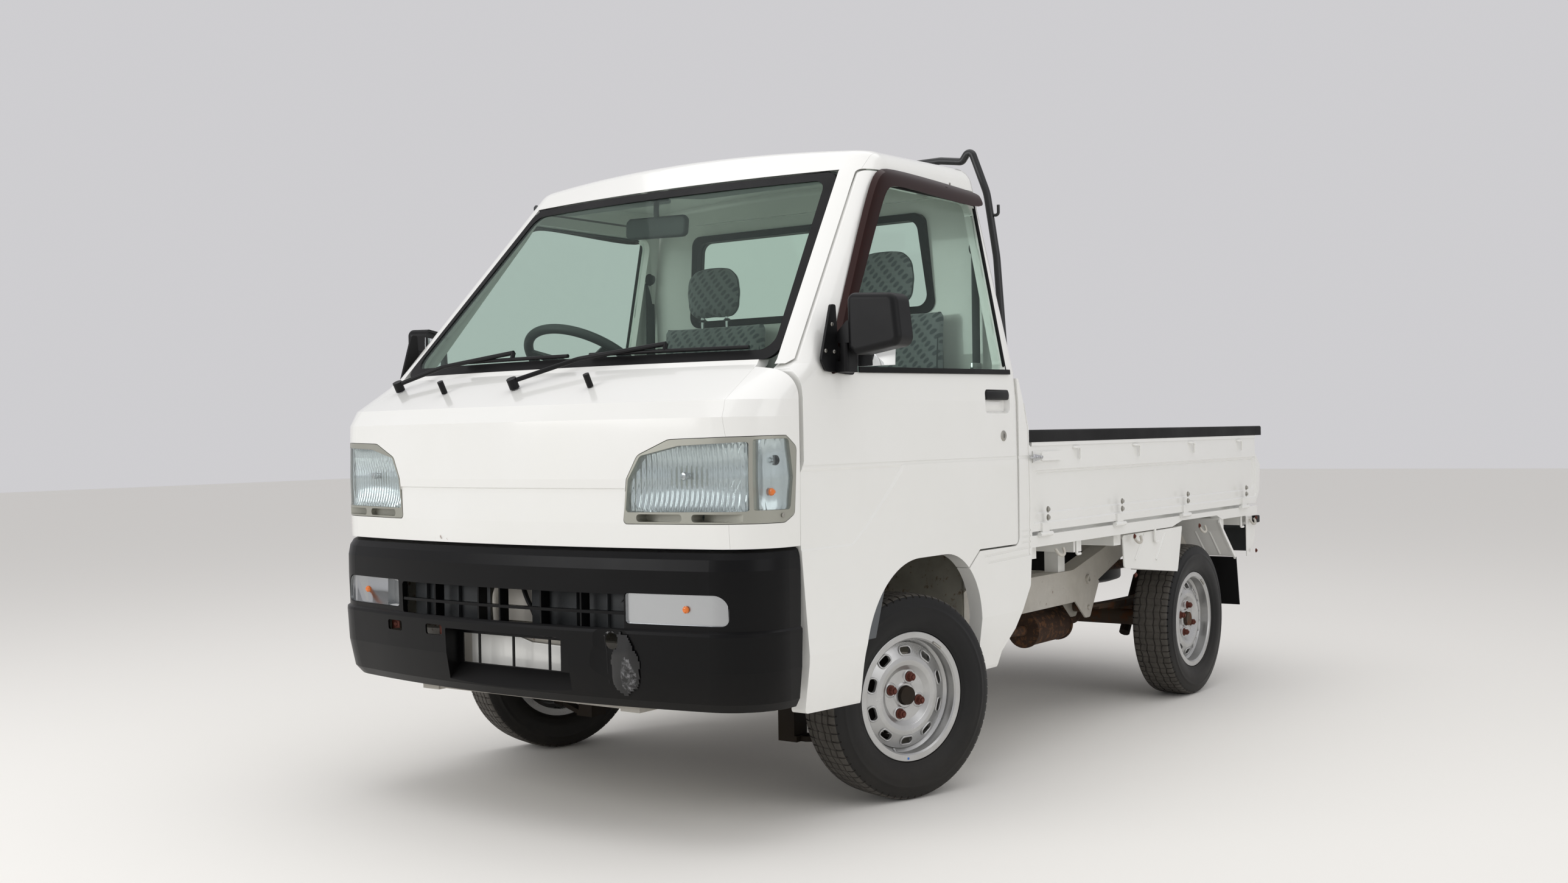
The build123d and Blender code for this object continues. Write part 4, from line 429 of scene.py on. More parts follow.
# Nylon belt webbing, grey.
WEBBING = Finish("belt_webbing", "seat_fabric", "#4A4D4E", "#5A5D5E", 0.8, grain=Grain.MOULDED,
                 grain_mm=2.0, relief=0.25)
# Bright chrome on latches and tips.
CHROME = Finish("chrome_plate", "cast_steel", "#D6D7D8", "#BFC0C1", 0.14, metallic=1.0)
# Galvanised or zinc plated small parts.
ZINC = Finish("zinc_plate", "cast_steel", "#B9B8B2", "#9A978F", 0.35, metallic=0.9,
              grain=Grain.ROUGH, grain_mm=3.0, relief=0.08)
# Wheel nuts and clips rusted red.
RUSTY_BOLT = Finish("rusted_bolt", "rusty_steel", "#74392A", "#43241C", 0.75, metallic=0.2,
                    blotch_mm=6.0, grain=Grain.ROUGH, grain_mm=2.0, relief=0.5)
# Bright-dipped reflector behind a lamp lens.
REFLECTOR = Finish("bright_reflector", "lamp_glass", "#F2F3F4", "#DFE1E2", 0.16, metallic=0.9)
# Vacuum-plated bowl gone dull with age.
AGED_REFLECTOR = Finish("dulled_reflector", "cast_steel", "#C2C4C5", "#A9ABAC", 0.3, metallic=1.0)
# Satin silver lacquer on the lamp surround.
BEZEL_PAINT = Finish("silver_bezel_lacquer", "lamp_glass", "#A9A99F", "#9A9A90", 0.34,
                     metallic=0.45, grain=Grain.ORANGE_PEEL, grain_mm=1.5, relief=0.05)
# Silvered glass of the mirrors.
MIRROR_SILVER = Finish("mirror_silver", "clear_glass", "#E8EBED", "#E8EBED", 0.02, metallic=1.0)
# Dyed acrylic tail lens.
RED_LENS = Finish("red_acrylic", "red_lens", "#A30F12", "#860B0E", 0.14, coat=0.6,
                  grain=Grain.MOULDED, grain_mm=6.0, relief=0.3)
AMBER_LENS = Finish("amber_acrylic", "red_lens", "#D9690F", "#C1590C", 0.14, coat=0.6,
                    grain=Grain.MOULDED, grain_mm=6.0, relief=0.3)
FROSTED_LENS = Finish("frosted_acrylic", "lamp_glass", "#E6E6E2", "#D6D6D2", 0.2, coat=0.4,
                      grain=Grain.MOULDED, grain_mm=6.0, relief=0.3)
AMBER_BULB = Finish("amber_bulb", "lamp_glass", "#E87B22", "#D96C1A", 0.15, coat=0.5)
BLUE_PAINT = Finish("blue_marker_paint", "wheel_paint", "#1E6FC9", "#1C63B4", 0.4)
# Painted shade for deep recesses such as the key slot and the bumper's split, and the black ink of gauge faces.
PAINTED_SHADE_AND_INK = Finish("dark_recess", "black_plastic", "#070707", "#0B0B0B", 0.7)
# Toughened glass, green at the edge and in the sheet.
SHEET_GLASS = Pane("green_safety_glass", "clear_glass", "#EFF7F2", "#AEBDB8", cover=0.03)
DOOR_PANE = Pane("green_door_glass", "clear_glass", "#F3F9F6", "#AEBDB8", cover=0.02)
# Dark brown acrylic of the rain visors.
SMOKED_VISOR = Pane("smoked_acrylic", "black_plastic", "#5A1F14", "#2C0D07", cover=0.72,
                    edge_cover=0.97, roughness=0.07)
# Moulded lamp glass, clear with a bright skin.
LAMP_LENS = Pane("clear_lamp_glass", "lamp_glass", "#FAFCFC", "#E6EBEC", cover=0.04,
                 edge_cover=0.8, roughness=0.05)
# The fluted inside of the lamp glass, which scatters more.
FLUTED_LENS = Pane("fluted_lamp_glass", "lamp_glass", "#F6F9F9", "#EEF1F1", cover=0.16,
                    edge_cover=0.9, roughness=0.1, single_sheet=True)
# Bumper plastic stretched smooth where it was pushed in.
DENTED_PLASTIC = Finish("stretched_polypropylene", "black_plastic", "#0E0E0F", "#141415", 0.24,
                        specular=0.5, grain=Grain.MOULDED, grain_mm=3.0, relief=0.03)
# Piping along the seats' seams, a darker vinyl cord.
PIPING = Finish("seat_piping", "seat_fabric", "#3E4245", "#4A4E50", 0.6, grain=Grain.MOULDED,
                grain_mm=2.0, relief=0.1)
# Padded vinyl of the sun visors.
VISOR_VINYL = Finish("visor_vinyl", "grey_plastic", "#8B8F90", "#7D8182", 0.6, grain=Grain.ROUGH,
                     grain_mm=1.8, relief=0.1)
# White printing ink of the gauges' ticks.
TICK_INK = Finish("gauge_ink", "grey_plastic", "#DADCDC", "#DADCDC", 0.6)
# Woven cloth of the two seats, with its slanting fleck.
SEAT_CLOTH = Cloth("grey_seat_cloth", "seat_fabric", "#7E8283", "#565A5D")


def metres(point: Point, local: bool = False) -> Vector:
    """A point in millimetres as metres, its Y measured back from the bumper unless it is local."""
    x, y, z = point
    return Vector((x / 1000, y / 1000 - (0 if local else HALF_LENGTH), z / 1000))


def clear() -> None:
    """Leaves nothing selected and no piece in edit mode."""
    if bpy.context.mode != "OBJECT":
        bpy.ops.object.mode_set(mode="OBJECT")
    bpy.ops.object.select_all(action="DESELECT")


def hold(thing: bpy.types.Object) -> None:
    """Makes one piece the only selected one."""
    clear()
    thing.select_set(True)
    bpy.context.view_layer.objects.active = thing


def edit(thing: bpy.types.Object, everything: bool = True) -> None:
    """Opens a piece in edit mode, with all of it selected or only what was chosen before."""
    hold(thing)
    bpy.context.tool_settings.mesh_select_mode = (everything, False, not everything)
    bpy.ops.object.mode_set(mode="EDIT")
    if everything:
        bpy.ops.mesh.select_all(action="SELECT")


def tidy(thing: bpy.types.Object) -> bpy.types.Object:
    """Merges doubled points and turns every face outwards."""
    edit(thing)
    bpy.ops.mesh.remove_doubles(threshold=1e-5)
    bpy.ops.mesh.normals_make_consistent(inside=False)
    clear()
    return thing


def draw(points: Sequence[Point], closed: bool = True, local: bool = False) -> bpy.types.Object:
    """Draws an outline in millimetres by extruding one point from place to place.

    Args:
        points: the outline's corners.
        closed: whether the outline is filled with a face.
        local: whether the piece is made about the origin, to be placed later.

    Returns:
        The new piece.
    """
    places = [metres(point, local) for point in points]
    clear()
    bpy.ops.mesh.primitive_plane_add(size=0.001, location=places[0])
    thing = bpy.context.active_object
    edit(thing)
    bpy.ops.mesh.merge(type="CENTER")
    for start, end in zip(places, places[1:]):
        bpy.ops.mesh.extrude_region_move(TRANSFORM_OT_translate={"value": end - start})
    if closed:
        bpy.ops.mesh.select_all(action="SELECT")
        bpy.ops.mesh.edge_face_add()
    clear()
    return thing


def prism(points: Sequence[Point], push: Point, local: bool = False) -> bpy.types.Object:
    """An outline given thickness by extruding it, both in millimetres."""
    thing = draw(points, local=local)
    edit(thing)
    bpy.ops.mesh.extrude_region_move(TRANSFORM_OT_translate={"value": Vector(push) / 1000})
    return tidy(thing)


def turned(rows: Sequence[Tuple[float, float]], steps: int = 32) -> bpy.types.Object:
    """A turned piece about Z: a profile of radius and height in millimetres, spun full circle."""
    thing = draw([(radius, 0.0, height) for radius, height in rows], closed=False, local=True)
    bpy.context.scene.cursor.location = (0, 0, 0)
    hold(thing)
    bpy.ops.object.origin_set(type="ORIGIN_CURSOR")
    edit(thing)
    bpy.ops.mesh.spin(steps=steps, angle=math.tau, center=(0, 0, 0), axis=(0, 0, 1))
    return tidy(thing)


def block(low: Point, high: Point, local: bool = False) -> bpy.types.Object:
    """A block between two corners in millimetres, for further shaping."""
    low_corner, high_corner = metres(low, local), metres(high, local)
    clear()
    bpy.ops.mesh.primitive_cube_add(size=1.0, location=(low_corner + high_corner) / 2,
                                    scale=high_corner - low_corner)
    bpy.ops.object.transform_apply(location=True, rotation=True, scale=True)
    return bpy.context.active_object


def wire(points: Sequence[Point], radius: float, smooth: bool = False, ring: bool = False,
         sides: int = 3, local: bool = False) -> bpy.types.Object:
    """A round bar along points in millimetres, turned into a mesh.

    Args:
        points: the bar's corners or control points.
        radius: the bar's radius in millimetres.
        smooth: whether the bar bends smoothly instead of at corners.
        ring: whether its ends meet.
        sides: how finely the bar is rounded.
        local: whether the bar is made about the origin, to be placed later.

    Returns:
        The new piece.
    """
    curve = bpy.data.curves.new("bar", "CURVE")
    curve.dimensions = "3D"
    curve.bevel_depth = radius / 1000
    curve.bevel_resolution = sides
    curve.use_fill_caps = not ring
    line = curve.splines.new("NURBS" if smooth else "POLY")
    line.points.add(len(points) - 1)
    for target, point in zip(line.points, points):
        target.co = (*metres(point, local), 1.0)
    line.use_cyclic_u = ring
    if smooth:
        line.order_u = 3
        line.use_endpoint_u = True
        line.resolution_u = 6
    thing = bpy.data.objects.new("bar", curve)
    bpy.context.scene.collection.objects.link(thing)
    hold(thing)
    bpy.ops.object.convert(target="MESH")
    return tidy(bpy.context.active_object)


def aimed(place: Point, direction: Point) -> Matrix:
    """The move that stands a piece made about Z at a place in millimetres, facing a direction."""
    turn = Vector(direction).to_track_quat("Z", "Y").to_matrix().to_4x4()
    return Matrix.Translation(metres(place)) @ turn


def join(things: Sequence[bpy.types.Object]) -> bpy.types.Object:
    """Joins several pieces into the first."""
    hold(things[0])
    for thing in things:
        thing.select_set(True)
    bpy.ops.object.join()
    return things[0]


def copied(thing: bpy.types.Object) -> bpy.types.Object:
    """A copy of a piece with its own mesh."""
    twin = thing.copy()
    twin.data = thing.data.copy()
    bpy.context.scene.collection.objects.link(twin)
    return twin


def stamp(thing: bpy.types.Object, moves: Iterable[Matrix]) -> bpy.types.Object:
    """Copies a modelled piece to several places and joins the copies.

    Args:
        thing: the pattern piece, which is used up.
        moves: where each copy goes; a mirroring move turns its faces the right way again.

    Returns:
        All the copies as one piece.
    """
    made = []
    for move in moves:
        twin = copied(thing)
        twin.data.transform(move @ thing.matrix_world)
        twin.matrix_world = Matrix.Identity(4)
        if move.determinant() < 0:
            twin.data.flip_normals()
        made.append(twin)
    bpy.data.objects.remove(thing)
    return join(made)


ACROSS = Matrix.Scale(-1, 4, (1, 0, 0))
BOTH_SIDES = (Matrix.Identity(4), ACROSS)


def modify(thing: bpy.types.Object, kind: str, **settings: object) -> bpy.types.Object:
    """Adds one modifier with its settings and applies it."""
    hold(thing)
    modifier = thing.modifiers.new(kind.lower(), kind)
    for name, value in settings.items():
        setattr(modifier, name, value)
    bpy.ops.object.modifier_apply(modifier=modifier.name)
    return thing


def eased(thing: bpy.types.Object, width: float, segments: int = 2) -> bpy.types.Object:
    """Rounds a piece's sharp edges by a width in millimetres."""
    return modify(thing, "BEVEL", width=width / 1000, segments=segments, limit_method="ANGLE",
                  angle_limit=math.radians(35))


def done(thing: bpy.types.Object, name: str, body: str, finish: "Finish", smooth: float = 32.0) -> bpy.types.Object:
    """Settles a piece: its place goes into its mesh, and it gets its name, body and finish.

    Args:
        thing: the modelled piece.
        name: the piece's own name.
        body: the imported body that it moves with.
        finish: its surface.
        smooth: the angle in degrees below which its faces shade as one.

    Returns:
        The settled piece.
    """
    hold(thing)
    bpy.ops.object.transform_apply(location=True, rotation=True, scale=True)
    bpy.ops.object.shade_smooth_by_angle(angle=math.radians(smooth))
    thing.name = name
    thing.data.name = name
    thing.data.materials.clear()
    thing.data.materials.append(finish.build())
    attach(thing, body)
    return thing


def loose_copies(node: bpy.types.Object) -> List[bpy.types.Object]:
    """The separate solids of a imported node, as copies whose triangles are merged."""
    twin = node.copy()
    twin.data = node.data.copy()
    twin.parent = None
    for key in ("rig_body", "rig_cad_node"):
        if key in twin:
            del twin[key]
    bpy.context.scene.collection.objects.link(twin)
    hold(twin)
    if twin.data.has_custom_normals:
        bpy.ops.mesh.customdata_custom_splitnormals_clear()
    known = set(bpy.context.scene.objects) - {twin}
    edit(twin)
    bpy.ops.mesh.remove_doubles(threshold=2e-5)
    bpy.ops.mesh.separate(type="LOOSE")
    clear()
    return [thing for thing in bpy.context.scene.objects if thing not in known]


def span(thing: bpy.types.Object) -> Tuple[Vector, Vector]:
    """A piece's lowest and highest corner in millimetres, with Y as the distance back."""
    points = [thing.matrix_world @ vertex.co for vertex in thing.data.vertices]
    low = Vector([min(p[i] for p in points) for i in range(3)]) * 1000
    high = Vector([max(p[i] for p in points) for i in range(3)]) * 1000
    shift = Vector((0, HALF_LENGTH * 1000, 0))
    return low + shift, high + shift


@dataclass
class Tyre:
    """A worn commercial tyre with five ribs, notched shoulders and cut blocks.

    It is made about the X axis with its outer side towards +X, in millimetres.
    """

    pitches: int = 72
    notch_share: float = 0.2
    notch_depth: float = 4.0
    sipe_depth: float = 1.6
    zigzag: float = 1.7
    tread_radius: float = 0.2585
    tread_half: float = 0.0635
    zigzag_radius: float = 0.260
    zigzag_half: float = 0.0415
    notch_radius: float = 0.2525
    side: Tuple[Tuple[float, float], ...] = (
        (50.8, 153.0), (50.8, 170.4), (56.5, 171.4), (58.0, 176.0), (61.5, 178.5), (63.0, 184.0),
        (68.0, 193.0), (71.0, 203.0), (72.4, 214.0), (72.4, 222.0), (71.4, 230.0), (72.2, 232.0),
        (71.6, 235.5), (70.2, 237.0), (69.0, 244.0), (67.2, 251.0), (65.0, 257.5), (62.0, 262.5),
        (56.0, 265.6), (48.0, 266.8), (41.0, 267.2), (40.0, 261.6), (36.5, 261.6), (35.5, 267.5),
        (17.5, 267.9), (16.5, 261.8), (13.0, 261.8), (12.0, 268.0))

    def build(self) -> bpy.types.Object:
        """Spins the section, cuts the pitches, and sinks the notches.

        Returns:
            The tyre with its tread in a second material.
        """
        left = [(-x, 0.0, r) for x, r in self.side]
        right = [(x, 0.0, r) for x, r in reversed(self.side)]
        thing = draw(left + right + [left[0]], closed=False, local=True)
        bpy.context.scene.cursor.location = (0, 0, 0)
        hold(thing)
        bpy.ops.object.origin_set(type="ORIGIN_CURSOR")
        edit(thing)
        bpy.ops.mesh.spin(steps=2 * self.pitches, angle=math.tau, center=(0, 0, 0), axis=(1, 0, 0))
        tidy(thing)
        self.space(thing)
        for reach, depth in (((42.0, 66.0), self.notch_depth), ((18.0, 35.0), self.sipe_depth),
                             ((-12.0, 11.0), self.sipe_depth)):
            self.sink(thing, reach, depth)
        thing.data.materials.append(TYRE_RUBBER.build())
        thing.data.materials.append(TREAD_RUBBER.build())
        for face in thing.data.polygons:
            radius = math.hypot(face.center.y, face.center.z)
            in_tread = radius > self.tread_radius and abs(face.center.x) < self.tread_half
            face.material_index = 1 if in_tread else 0
        return thing

    def space(self, thing: bpy.types.Object) -> None:
        """Draws every second ring of points close to the one before, and staggers the grooves."""
        step = math.pi / self.pitches
        for vertex in thing.data.vertices:
            angle = math.atan2(vertex.co.y, vertex.co.z)
            radius = math.hypot(vertex.co.y, vertex.co.z)
            index = round(angle / step)
            if index % 2:
                angle -= 2 * step * (0.5 - self.notch_share)
            if radius > self.zigzag_radius and abs(vertex.co.x) < self.zigzag_half:
                vertex.co.x += self.zigzag / 1000 * (1 if (index // 2) % 2 else -1)
            vertex.co.y, vertex.co.z = radius * math.sin(angle), radius * math.cos(angle)
        thing.data.update()

    def sink(self, thing: bpy.types.Object, reach: Tuple[float, float], depth: float) -> None:
        """Pushes the narrow faces of one rib inwards, on both shoulders if the rib is not central."""
        step = math.pi / self.pitches
        clear()
        for item in (*thing.data.vertices, *thing.data.edges, *thing.data.polygons):
            item.select = False
        for face in thing.data.polygons:
            centre = face.center
            angle = math.atan2(centre.y, centre.z) % (2 * step)
            radius = math.hypot(centre.y, centre.z)
            narrow = angle < 2 * step * self.notch_share
            across = centre.x if reach[0] < 0 else abs(centre.x)
            face.select = (narrow and radius > self.notch_radius
                           and reach[0] / 1000 < across < reach[1] / 1000)
        edit(thing, everything=False)
        bpy.ops.mesh.extrude_region_shrink_fatten(TRANSFORM_OT_shrink_fatten={"value": -depth / 1000})
        clear()


@dataclass
class RoadWheel:
    """What is fastened to one steel wheel: nuts on raised seats, vent lips, hub, valve."""

    nut_circle: float = 50.0
    nut_turn: float = 20.0
    seat_x: float = 25.0
    vents: int = 10
    vent_circle: float = 118.0

    def nuts(self) -> bpy.types.Object:
        """Four hexagon nuts with their cones, washers and stud ends, in place on the disc."""
        clear()
        bpy.ops.mesh.primitive_cylinder_add(vertices=6, radius=0.0108, depth=0.012, location=(0, 0, 0.009))
        nut = bpy.context.active_object
        edit(nut)
        bpy.ops.mesh.bevel(offset=0.0009, segments=1)
        clear()
        cone = turned(((0, 0.5), (13.5, 0.5), (13.5, 2.2), (10.6, 3.6), (9.5, 3.6), (9.5, 15.0), (7.2, 16.5),
                       (6.6, 14.0), (5.4, 14.0), (5.4, 18.5), (4.4, 19.6), (0, 19.6)), 24)
        return stamp(join([nut, cone]), self.round_disc(4, self.nut_circle, self.nut_turn, self.seat_x + 0.4))

    def round_disc(self, count: int, radius: float, turn: float, x: float) -> List[Matrix]:
        """Moves that stand a piece made about Z on the disc, pointing outwards, around the axis."""
        outwards = Matrix.Rotation(math.pi / 2, 4, "Y")
        moves = []
        for index in range(count):
            angle = math.radians(turn + index * 360 / count)
            place = Vector((x, radius * math.sin(angle), radius * math.cos(angle))) / 1000
            moves.append(Matrix.Translation(place) @ outwards)
        return moves

    def seats(self) -> bpy.types.Object:
        """Raised rings pressed in the disc round the nuts, and one round the centre hole."""
        ring = turned(((15.0, -0.5), (20.5, -0.5), (19.0, 1.6), (16.2, 2.4), (14.6, 1.4),
                       (14.6, -0.5), (15.0, -0.5)), 28)
        return stamp(ring, self.round_disc(4, self.nut_circle, self.nut_turn, self.seat_x))

    def vent_lips(self) -> bpy.types.Object:
        """The rolled lip round each vent hole, higher towards the hub."""
        slope = math.atan2(16.0, 35.5)
        points = []
        for index in range(28):
            angle = index * math.tau / 28
            along = 10.0 * (1 if math.cos(angle) > 0 else -1) * min(1.0, abs(math.cos(angle)) * 4)
            y = along + 9.5 * math.cos(angle)
            z = 11.0 * math.sin(angle)
            points.append((-z * math.tan(slope), y, z))
        lip = wire(points, 2.6, ring=True, local=True)
        moves = []
        for index in range(self.vents):
            turn = Matrix.Rotation(index * math.tau / self.vents, 4, "X")
            moves.append(turn @ Matrix.Translation((0.0300, 0, self.vent_circle / 1000)))
        return stamp(lip, moves)

    def hub(self) -> bpy.types.Object:
        """The dark spindle end in the centre hole, with its castle nut."""
        boss = turned(((0, 33.0), (7.0, 33.0), (8.0, 31.5), (8.0, 24.0), (13.0, 23.0), (14.5, 21.0),
                       (14.5, 14.0), (22.0, 12.0), (24.8, 8.0), (24.8, -14.0), (0, -14.0)), 32)
        return stamp(boss, [Matrix.Rotation(math.pi / 2, 4, "Y")])

    def valve(self) -> bpy.types.Object:
        """The valve stem that comes through the barrel beside the disc."""
        stem = turned(((0, 0), (5.5, 0), (5.0, 9.0), (3.9, 14.0), (3.9, 26.0), (4.6, 27.0), (4.6, 34.0),
                       (3.0, 36.0), (0, 36.0)), 16)
        tilt = Matrix.Rotation(math.radians(62), 4, "Y")
        place = Matrix.Translation((0.019, 0, 0.145))
        return stamp(stem, [Matrix.Rotation(math.radians(166), 4, "X") @ place @ tilt])

    def weight(self) -> bpy.types.Object:
        """A balance weight clipped over the rim's edge."""
        thing = wire([(57.6, 153.5 * math.sin(a / 10), 153.5 * math.cos(a / 10)) for a in (5, 6, 7)], 3.6,
                     smooth=True, local=True)
        return thing


@dataclass
class Wheels:
    """The four road wheels, each at its own hub."""

    front_x: float = 645.0
    rear_x: float = 650.0
    pin_x: float = 600.0

    def move(self, front: bool, side: int) -> Matrix:
        """The move from a wheel made about the X axis to its place on the parked truck."""
        hub_x = self.front_x if front else self.rear_x
        axle = FRONT_AXLE_Y if front else REAR_AXLE_Y
        place = Matrix.Translation((side * hub_x / 1000, axle, TYRE_RADIUS))
        if side < 0:
            place = place @ ACROSS
        if front:
            pin = Matrix.Translation((side * self.pin_x / 1000, FRONT_AXLE_Y, 0))
            place = pin @ Matrix.Rotation(STEER_AT_REST, 4, "Z") @ pin.inverted() @ place
        return place

    def build(self) -> int:
        """Makes each pattern once and sets its copies on the four wheels.

        Returns:
            How many pieces were made.
        """
        wheel = RoadWheel()
        patterns = (
            ("tyre", Tyre().build(), TYRE_RUBBER, 40.0),
            ("wheel_nuts", wheel.nuts(), RUSTY_BOLT, 32.0),
            ("nut_seats", wheel.seats(), WHEEL_PAINT, 50.0),
            ("vent_lips", wheel.vent_lips(), WHEEL_PAINT, 60.0),
            ("hub_end", wheel.hub(), UNDERBODY_STEEL, 32.0),
            ("valve", wheel.valve(), CHROME, 40.0),
            ("balance_weight", wheel.weight(), ZINC, 50.0),
        )
        made = 0
        for name, pattern, finish, smooth in patterns:
            for front, end in ((True, "front"), (False, "rear")):
                for side, hand in ((1, "left"), (-1, "right")):
                    thing = stamp(copied(pattern), [self.move(front, side)])
                    indices = [face.material_index for face in thing.data.polygons]
                    done(thing, f"{name}_{end}_{hand}", f"wheel_{end}_{hand}", finish, smooth)
                    if name == "tyre":
                        thing.data.materials.append(TREAD_RUBBER.build())
                        thing.data.polygons.foreach_set("material_index", indices)
                        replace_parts(thing, f"tyre_{end}_{hand}")
                    made += 1
            bpy.data.objects.remove(pattern)
        self.mark()
        return made + 1

    def mark(self) -> None:
        """The blue paint dot low on the front left rim's edge."""
        dot = turned(((0, 0), (3.4, 0), (3.0, 0.8), (0, 0.9)), 16)
        angle = math.radians(186)
        place = Vector((57.0, 161.0 * math.sin(angle), 161.0 * math.cos(angle))) / 1000
        outwards = Matrix.Rotation(math.pi / 2, 4, "Y")
        spot = stamp(dot, [self.move(True, 1) @ Matrix.Translation(place) @ outwards])
        done(spot, "rim_paint_dot", "wheel_front_left", BLUE_PAINT)


def fluted(lens: bpy.types.Object, rows: Tuple[int, int], pitch: float, depth: float,
           curved: bool = False) -> bpy.types.Object:
    """A sheet of upright flutes that follows the inside of a lens.

    A grid is laid behind the lens and drawn forward on to it, and what misses the lens goes.

    Args:
        lens: the clear cover, seen from the front.
        rows: how many grid divisions across and up.
        pitch: the width of one flute in millimetres.
        depth: how deep a flute is in millimetres.
        curved: whether the middle band's flutes sag sideways, as in a main beam's block optics.

    Returns:
        The sheet, open at its back.
    """
    low, high = span(lens)
    clear()
    bpy.ops.mesh.primitive_grid_add(x_subdivisions=rows[0], y_subdivisions=rows[1], size=1.0)
    sheet = bpy.context.active_object
    missed = set()
    for vertex in sheet.data.vertices:
        x = low.x + (vertex.co.x + 0.5) * (high.x - low.x)
        z = low.z + (vertex.co.y + 0.5) * (high.z - low.z)
        start = metres((x, high.y + 40, z))
        hit, where, _, _ = lens.ray_cast(start, Vector((0, -1, 0)))
        if not hit:
            missed.add(vertex.index)
            where = nearest_inside(lens, start, (low + high) / 2)
        phase = x + (9.0 * math.sin((z - low.z) / (high.z - low.z) * math.pi * 3) if curved else 0.0)
        flute = depth * (0.5 + 0.5 * math.cos(math.tau * phase / pitch))
        vertex.co = where + Vector((0, (0.6 + flute) / 1000, 0))
    for face in sheet.data.polygons:
        face.select = all(index in missed for index in face.vertices)
    edit(sheet, everything=False)
    bpy.ops.mesh.delete(type="FACE")
    clear()
    return sheet


def nearest_inside(lens: bpy.types.Object, start: Vector, middle: Vector) -> Vector:
    """A missed point's place at the depth that the lens has a little nearer to its middle."""
    centre = metres((middle.x, 0, middle.z))
    for share in (0.04, 0.08, 0.14, 0.22, 0.35, 0.6):
        probe = Vector((start.x + (centre.x - start.x) * share, start.y,
                        start.z + (centre.z - start.z) * share))
        hit, where, _, _ = lens.ray_cast(probe, Vector((0, -1, 0)))
        if hit:
            return Vector((start.x, where.y, start.z))
    return start


def bowl(lens: bpy.types.Object, depth: float, stand: float, power: float = 2.0) -> bpy.types.Object:
    """A bright reflector bowl behind a lens, its edge close to the lens and its middle deep.

    Args:
        lens: the clear cover that the bowl fills from behind.
        depth: how deep the middle lies behind the edge, in millimetres.
        stand: the gap between lens and edge, in millimetres.
        power: how steeply the bowl's sides fall.

    Returns:
        The bowl as an open sheet.
    """
    sheet = fluted(lens, (200, 26), 13.0, 2.6)
    low, high = span(lens)
    middle, half = (low + high) / 2, (high - low) / 2
    for vertex in sheet.data.vertices:
        u = (vertex.co.x * 1000 - middle.x) / half.x
        v = (vertex.co.z * 1000 - middle.z) / half.z
        edge = min(1.0, (u ** 4 + v ** 4) ** (power / 4))
        vertex.co.y += (stand + depth * (1 - edge)) / 1000
    return sheet


def bulb(place: Point, radius: float, length: float) -> bpy.types.Object:
    """A capless bulb standing forwards out of its reflector."""
    glass = turned(((0, 0), (radius * 0.55, 0), (radius * 0.6, length * 0.25), (radius, length * 0.5),
                    (radius * 0.98, length * 0.72), (radius * 0.6, length * 0.93), (0, length)), 20)
    return stamp(glass, [aimed(place, (0, -1, 0))])


def cross_screw(radius: float) -> bpy.types.Object:
    """A pan-head screw with a cross slot, made about Z."""
    head = turned(((0, 0), (radius, 0), (radius, radius * 0.25), (radius * 0.8, radius * 0.55),
                   (0, radius * 0.65)), 20)
    r, top = radius * 0.62, radius * 0.68
    slots = join([block((-r, -r * 0.16, top * 0.9), (r, r * 0.16, top), local=True),
                  block((-r * 0.16, -r, top * 0.9), (r * 0.16, r, top), local=True)])
    return join([head, slots])


